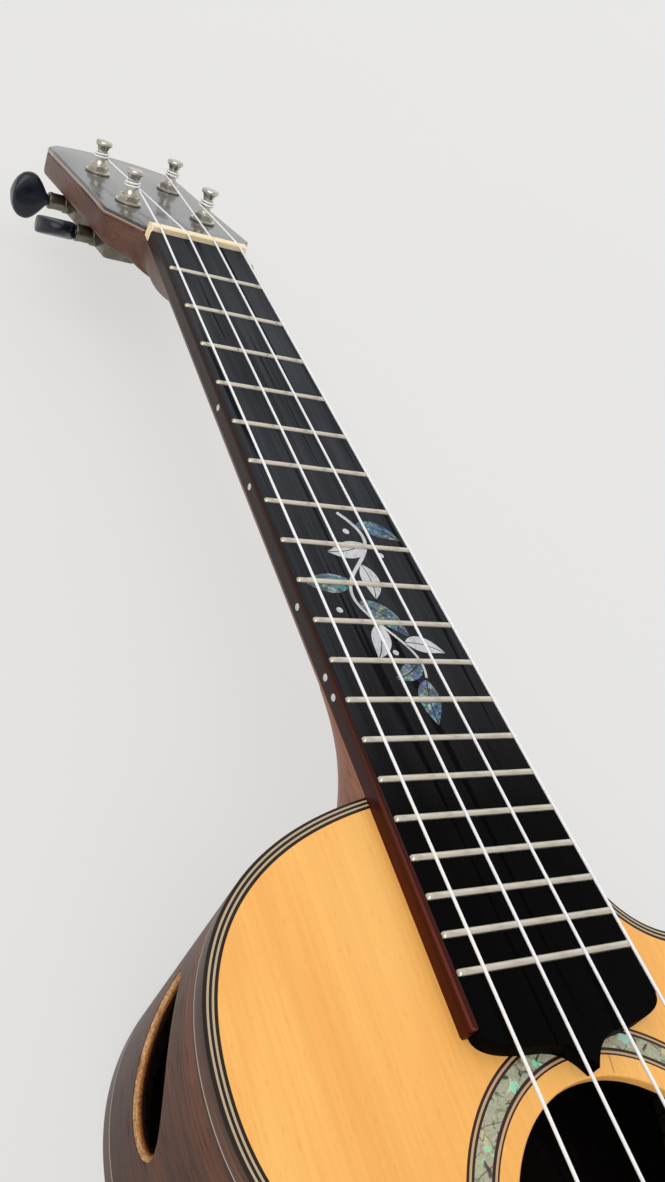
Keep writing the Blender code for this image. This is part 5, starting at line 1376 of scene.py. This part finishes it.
def aboutShaft(letter, points):
    # turns (radius plane a, radius plane b, along) points so that they run out along the worm's shaft
    a, b, along = np.moveaxis(points, -1, 0)
    return atTuner(letter, np.stack([postPlace(letter)[2] * along, wormOffset + a, wormLevel + b], axis=-1))


def revolve(profile, count, radiusOf=None):
    # (radius, height) rows turned about the height axis; radiusOf may change a row's circle
    profile = np.array(profile, float)
    radii = np.repeat(profile[:, :1], count, axis=1)
    if radiusOf is not None:
        radii = radiusOf(radii, profile[:, 1], 2.0 * np.pi * np.arange(count) / count)
    heights = np.repeat(profile[:, 1:], count, axis=1)
    return np.concatenate([radii[..., None] * circle(count), heights[..., None]], axis=-1)


def makeSleeve(letter):
    # Washer and hexagon: the hexagon's circle shrinks to R cos 30 / cos(turn - nearest flat).
    s = tunerLook
    washer = neckShape["plateTop"] + build["fitGap"] - 0.0002
    nut = neckShape["plateTop"] + build["fitGap"] + s["washerThick"]
    top = nut + s["hexHeight"]
    bottom = -neckShape["headWood"] + build["fitGap"]
    hexR, wide, bore = s["hexRadius"], s["washer"], s["bore"]
    profile = [(bore, bottom), (s["sleeveRadius"], bottom), (s["sleeveRadius"], washer),
               (wide - 0.0001, washer), (wide, washer + 0.00015), (wide, nut - 0.0002),
               (wide - 0.0002, nut), (hexR, nut), (hexR, top - 0.0005), (hexR * 0.97, top - 0.0002),
               (hexR * 0.90, top), (bore + 0.0006, top), (bore + 0.0004, top + 0.00024), (bore, top)]

    def hexagon(radii, heights, turn):
        flat = hexR * math.cos(math.pi / 6) / np.cos(turn % (math.pi / 3) - math.pi / 6)
        onHex = (heights > nut - 1e-6)[:, None] & (radii > 0.85 * hexR) & (radii < 1.05 * hexR)
        return np.where(onHex, np.minimum(radii, flat), radii)

    addGrid("sleeve" + letter.upper(), atTuner(letter, revolve(profile, 48, hexagon)), "nickel", True,
            node="tuner_sleeve_" + letter, slot="tuner_metal", angle=25.0)


def wheelLoop():
    s = tunerLook
    root, tip = s["wheelRadius"] - s["dedendum"], s["wheelRadius"] + s["addendum"]
    shares = np.array([-0.235, -0.105, 0.105, 0.235])
    radii = np.array([root, tip, tip, root])
    angle = math.pi / 2 + (np.arange(s["teeth"])[:, None] + 0.5 + shares[None]) * 2.0 * np.pi / s["teeth"]
    return np.stack([radii * np.cos(angle), radii * np.sin(angle)], axis=-1).reshape(-1, 2)


def makePost(letter):
    s = tunerLook
    face, height, cap, shaft, waist = neckShape["plateTop"], s["height"], s["cap"], s["shaft"], s["waist"]
    bottom, neck = wormLevel - s["wheelWidth"], wormLevel + 0.75 * s["wheelWidth"]
    low = face + stringLook["onPost"] - 2 * stringLook["radius"]
    high = low + stringLook["turns"] * stringLook["turnRise"] + 4 * stringLook["radius"]
    shoulder = face + 0.0006 + s["washerThick"] + s["hexHeight"]
    top = face + height
    profile = [(0.0, bottom), (0.85 * shaft, bottom), (0.85 * shaft, neck), (shaft, neck + 0.0004),
               (shaft, shoulder), (shaft * 0.97, shoulder + 0.0004), (0.5 * (shaft + waist), low - 0.0009),
               (waist * 1.02, low - 0.0002), (waist, low), (waist, high), (waist * 1.03, high + 0.0002),
               (0.66 * cap, high + 0.0007)]
    profile += [(share * cap, face + up * height) for share, up in (
        (0.78, 0.845), (0.93, 0.865), (0.985, 0.88), (1.0, 0.895), (1.0, 0.94), (0.97, 0.965),
        (0.90, 0.985))]
    profile += [(cap * 0.80, top - 0.00005), (cap * 0.5, top), (0.0, top)]
    loop = wheelLoop()
    wide = s["wheelWidth"] / 2
    wheel = np.array([atLevel(loop * size, wormLevel + z)
                      for size, z in ((0.30, -wide), (1.0, -wide), (1.0, wide), (0.30, wide))])
    verts, faces = joinMeshes([(revolve(profile, 40), gridFaces(len(profile), 40)),
                               (wheel, gridFaces(4, len(loop), closeRows=True))])
    finish("post" + letter.upper(), atTuner(letter, verts), faces, "nickel", node="tuner_post_" + letter,
           slot="tuner_metal", rideOn="post_" + letter, angle=28.0)


def makeHousing(letter):
    # A rounded case with a stepped collar for the button's shaft, and a tab with the fixing screw.
    s = tunerLook
    half, r = caseHalf, s["corner"]
    far = wormOffset + s["wormRadius"] + s["addendum"] + s["wormPlay"] + s["wall"]
    low = housingTop - s["depth"]
    corners = [(half - r, far - r, 0), (-half + r, far - r, 90), (-half + r, -half + r, 180),
               (half - r, -half + r, 270)]
    loop = np.array([point for cx, cy, start in corners
                     for point in roundCorner((cx, cy), r, start, start + 90, 7)])
    case = insetRings(loop, [(0.0, housingTop), (0.0, low + 0.0008), (0.0002, low + 0.0004),
                             (0.0006, low + 0.0001), (0.0010, low), (0.0016, low),
                             (0.0017, low + 0.00012), (0.0021, low + 0.00012)])
    c, end = s["collar"], s["collarEnd"]
    profile = [(0.0, half - 0.001), (c * 1.05, half - 0.001), (c * 1.05, half + 0.0018), (c, half + 0.0021),
               (c * 0.90, half + 0.0023), (c * 0.89, end - 0.0018), (c * 0.93, end - 0.0016),
               (c * 0.93, end - 0.0004), (c * 0.85, end), (0.0, end)]
    tabY, tabR = -half - s["tabReach"], s["tabRadius"]
    tabLoop = np.array(roundCorner((0.0, tabY), tabR, 180, 360, 13)
                       + [(tabR, -half + 0.001), (-tabR, -half + 0.001)])
    tab = insetRings(tabLoop, [(0.0, housingTop + 0.0001), (0.0, housingTop - 0.0009),
                               (0.0002, housingTop - 0.0011)])
    verts, faces = joinMeshes([
        (atTuner(letter, case), solidFaces(*case.shape[:2])),
        (aboutShaft(letter, revolve(profile, 32)), gridFaces(len(profile), 32)),
        (atTuner(letter, tab), solidFaces(*tab.shape[:2]))])
    # the case and its screws take the painted shade of the darker copy of the nickel
    finish("housing" + letter.upper(), verts, faces, "shadedTunerCase", node="tuner_housing_" + letter,
           slot="tuner_metal", angle=28.0)
    screws = []
    for y, level, radius in ((tabY, housingTop - 0.0011, 0.0014), (0.0, low + 0.00012, 0.0017)):
        dome = [(0.0, 0.0002), (radius, 0.0002), (radius, -0.0002), (radius * 0.86, -0.0005),
                (radius * 0.5, -0.0007), (0.0, -0.0007)]
        head = revolve(dome, 20)
        # the driver's slot: points near the middle line sink
        slot = (np.abs(head[..., 1]) < 0.25 * radius) & (head[..., 2] < -0.0004)
        head[..., 2] = np.where(slot, -0.0003, head[..., 2])
        screws.append((head + [0.0, y, level], gridFaces(len(dome), 20)))
    verts, faces = joinMeshes(screws)
    finish("screws" + letter.upper(), atTuner(letter, verts), faces, "shadedTunerCase", slot="tuner_metal",
           angle=20.0)


def makeButton(letter):
    # Shaft with a worm (radius = root + height * clipped cos(2 pi x / pitch + pi - turn)) and an
    # oval knob: rings of a superellipse, |y/wide|^p + |z/thick|^p = 1.
    s = tunerLook
    count = 32
    pitch = 2.0 * math.pi * s["wheelRadius"] / s["teeth"]
    along = np.linspace(-1.25 * pitch, 1.25 * pitch, 61)
    root, crest = s["wormRadius"] - s["dedendum"], s["wormRadius"] + s["addendum"]
    thin, base = s["wormShaft"], s["collarEnd"] + build["fitGap"]

    def thread(radii, heights, turn):
        wave = np.cos(2.0 * np.pi * heights[:, None] / pitch + np.pi - turn[None])
        rise = np.clip(0.5 + 0.95 * wave, 0.0, 1.0)
        rise *= np.clip((1.25 - np.abs(heights[:, None]) / pitch) * 6.0, 0.0, 1.0)
        return root + (crest - root) * rise

    before = [(0.0, -caseHalf), (thin, -caseHalf), (thin, along[0] - 0.0003)]
    after = [(thin, along[-1] + 0.0003), (thin, base - 0.0002)]
    shaft = np.concatenate([revolve(before, count), revolve([(root, x) for x in along], count, thread),
                            revolve(after, count)])
    table = smoothTable(s["knobShape"], 3)
    table[:, 1:] = np.maximum(table[:, 1:], 0.0)
    unit = circle(count)
    oval = np.sign(unit) * np.abs(unit) ** (2.0 / s["knobPower"])
    y = table[:, 1:2] * s["knobWidth"] / 2 * oval[:, 0]
    z = table[:, 2:3] * s["knobThick"] / 2 * oval[:, 1]
    angle = math.radians(s["angles"][letter])
    knob = np.stack([y * math.cos(angle) - z * math.sin(angle), y * math.sin(angle) + z * math.cos(angle),
                     np.repeat(base + table[:, :1] * s["knobLength"], count, 1)], axis=-1)
    # the shaft has a face at its far end only, the knob at its near end only
    finish("wormShaft" + letter.upper(), aboutShaft(letter, shaft),
           gridFaces(len(shaft), count).tolist() + solidFaces(len(shaft), count)[-1:],
           "nickel", slot="tuner_metal", rideOn="button_" + letter, angle=30.0)
    finish("knob" + letter.upper(), aboutShaft(letter, knob), solidFaces(len(knob), count)[:-1], "knob",
           node="tuner_button_" + letter, slot="knob", rideOn="button_" + letter, angle=60.0)


for letter in letters:
    makeSleeve(letter)
    makePost(letter)
    makeHousing(letter)
    makeButton(letter)
print("tuners made")


# stage, light and camera

stageLook = {"floorColor": srgb(229, 228, 226), "floorSize": 6.0, "worldColor": srgb(240, 240, 240),
             "worldStrength": 0.72, "shadowShare": 0.26}
# suns: where the light comes from, its width in degrees and its strength
suns = {
    "key": {"from": (-0.45, -0.50, 0.90), "width": 60.0, "strength": 1.35},
    "rim": {"from": (0.50, 0.70, 0.60), "width": 80.0, "strength": 0.35}}
# the camera that the photo was taken with: its place and its axes
cameraLook = {
    "lens": 34.0505, "place": (-0.176169, 0.033364, 0.249307), "right": (0.841344, -0.336672, 0.422838),
    "up": (-0.047936, 0.732748, 0.678809), "back": (-0.538370, -0.591381, 0.600355)}


def makeFloor():
    size = stageLook["floorSize"] / 2
    corners = [(-size, -size), (size, -size), (size, size), (-size, size)]
    mesh = newMesh("floor", [(x, y, -0.0001) for x, y in corners], [(0, 1, 2, 3)])
    floor = linked("floor", mesh)
    material, tree, shader = startMaterial("floorPaint", {"Roughness": 0.9, "Specular IOR Level": 0.2})
    cloud = noise(tree, coordinates(tree), 3.0, 2.0)
    # part of the floor's tone is its own glow, so that the shadow stays light
    share, tint = stageLook["shadowShare"], stageLook["floorColor"]
    low, high = (tuple(v * share * k for v in tint) for k in (0.985, 1.0))
    dress(tree, shader, ramp(tree, cloud, [(0.3, low), (0.7, high)]))
    shader.inputs["Emission Color"].default_value = (*tint, 1.0)
    shader.inputs["Emission Strength"].default_value = 1.0 - share
    mesh.materials.append(material)


def makeLight():
    world = bpy.data.worlds.new("studio")
    world.use_nodes = True
    tree = world.node_tree
    back = tree.nodes["Background"]
    path = addNode(tree, "LightPath")
    seen = maths(tree, "MAXIMUM", path.outputs["Is Camera Ray"], path.outputs["Is Transmission Ray"])
    color = mixColor(tree, seen, stageLook["worldColor"], stageLook["floorColor"])
    setInput(tree, back.inputs["Color"], color)
    setInput(tree, back.inputs["Strength"], levels(tree, seen, 0.0, 1.0, stageLook["worldStrength"], 1.0))
    bpy.context.scene.world = world
    for name, sun in suns.items():
        light = bpy.data.lights.new(name, "SUN")
        light.angle = math.radians(sun["width"])
        light.energy = sun["strength"]
        item = linked(name, light)
        item.location = (0.0, 0.0, 1.0)
        item.rotation_euler = Vector(sun["from"]).to_track_quat("Z", "Y").to_euler()


def makeCamera():
    s = cameraLook
    camera = bpy.data.cameras.new("camera")
    camera.sensor_width = 36.0
    camera.sensor_fit = "AUTO"
    camera.lens = s["lens"]
    camera.clip_start = 0.01
    item = linked("camera", camera)
    turn = Matrix([s[key] for key in ("right", "up", "back")]).transposed().to_4x4()
    item.matrix_world = Matrix.Translation(s["place"]) @ turn
    bpy.context.scene.camera = item


makeFloor()
makeLight()
makeCamera()
bpy.context.scene.view_settings.view_transform = "Standard"
print("stage, light and camera made")
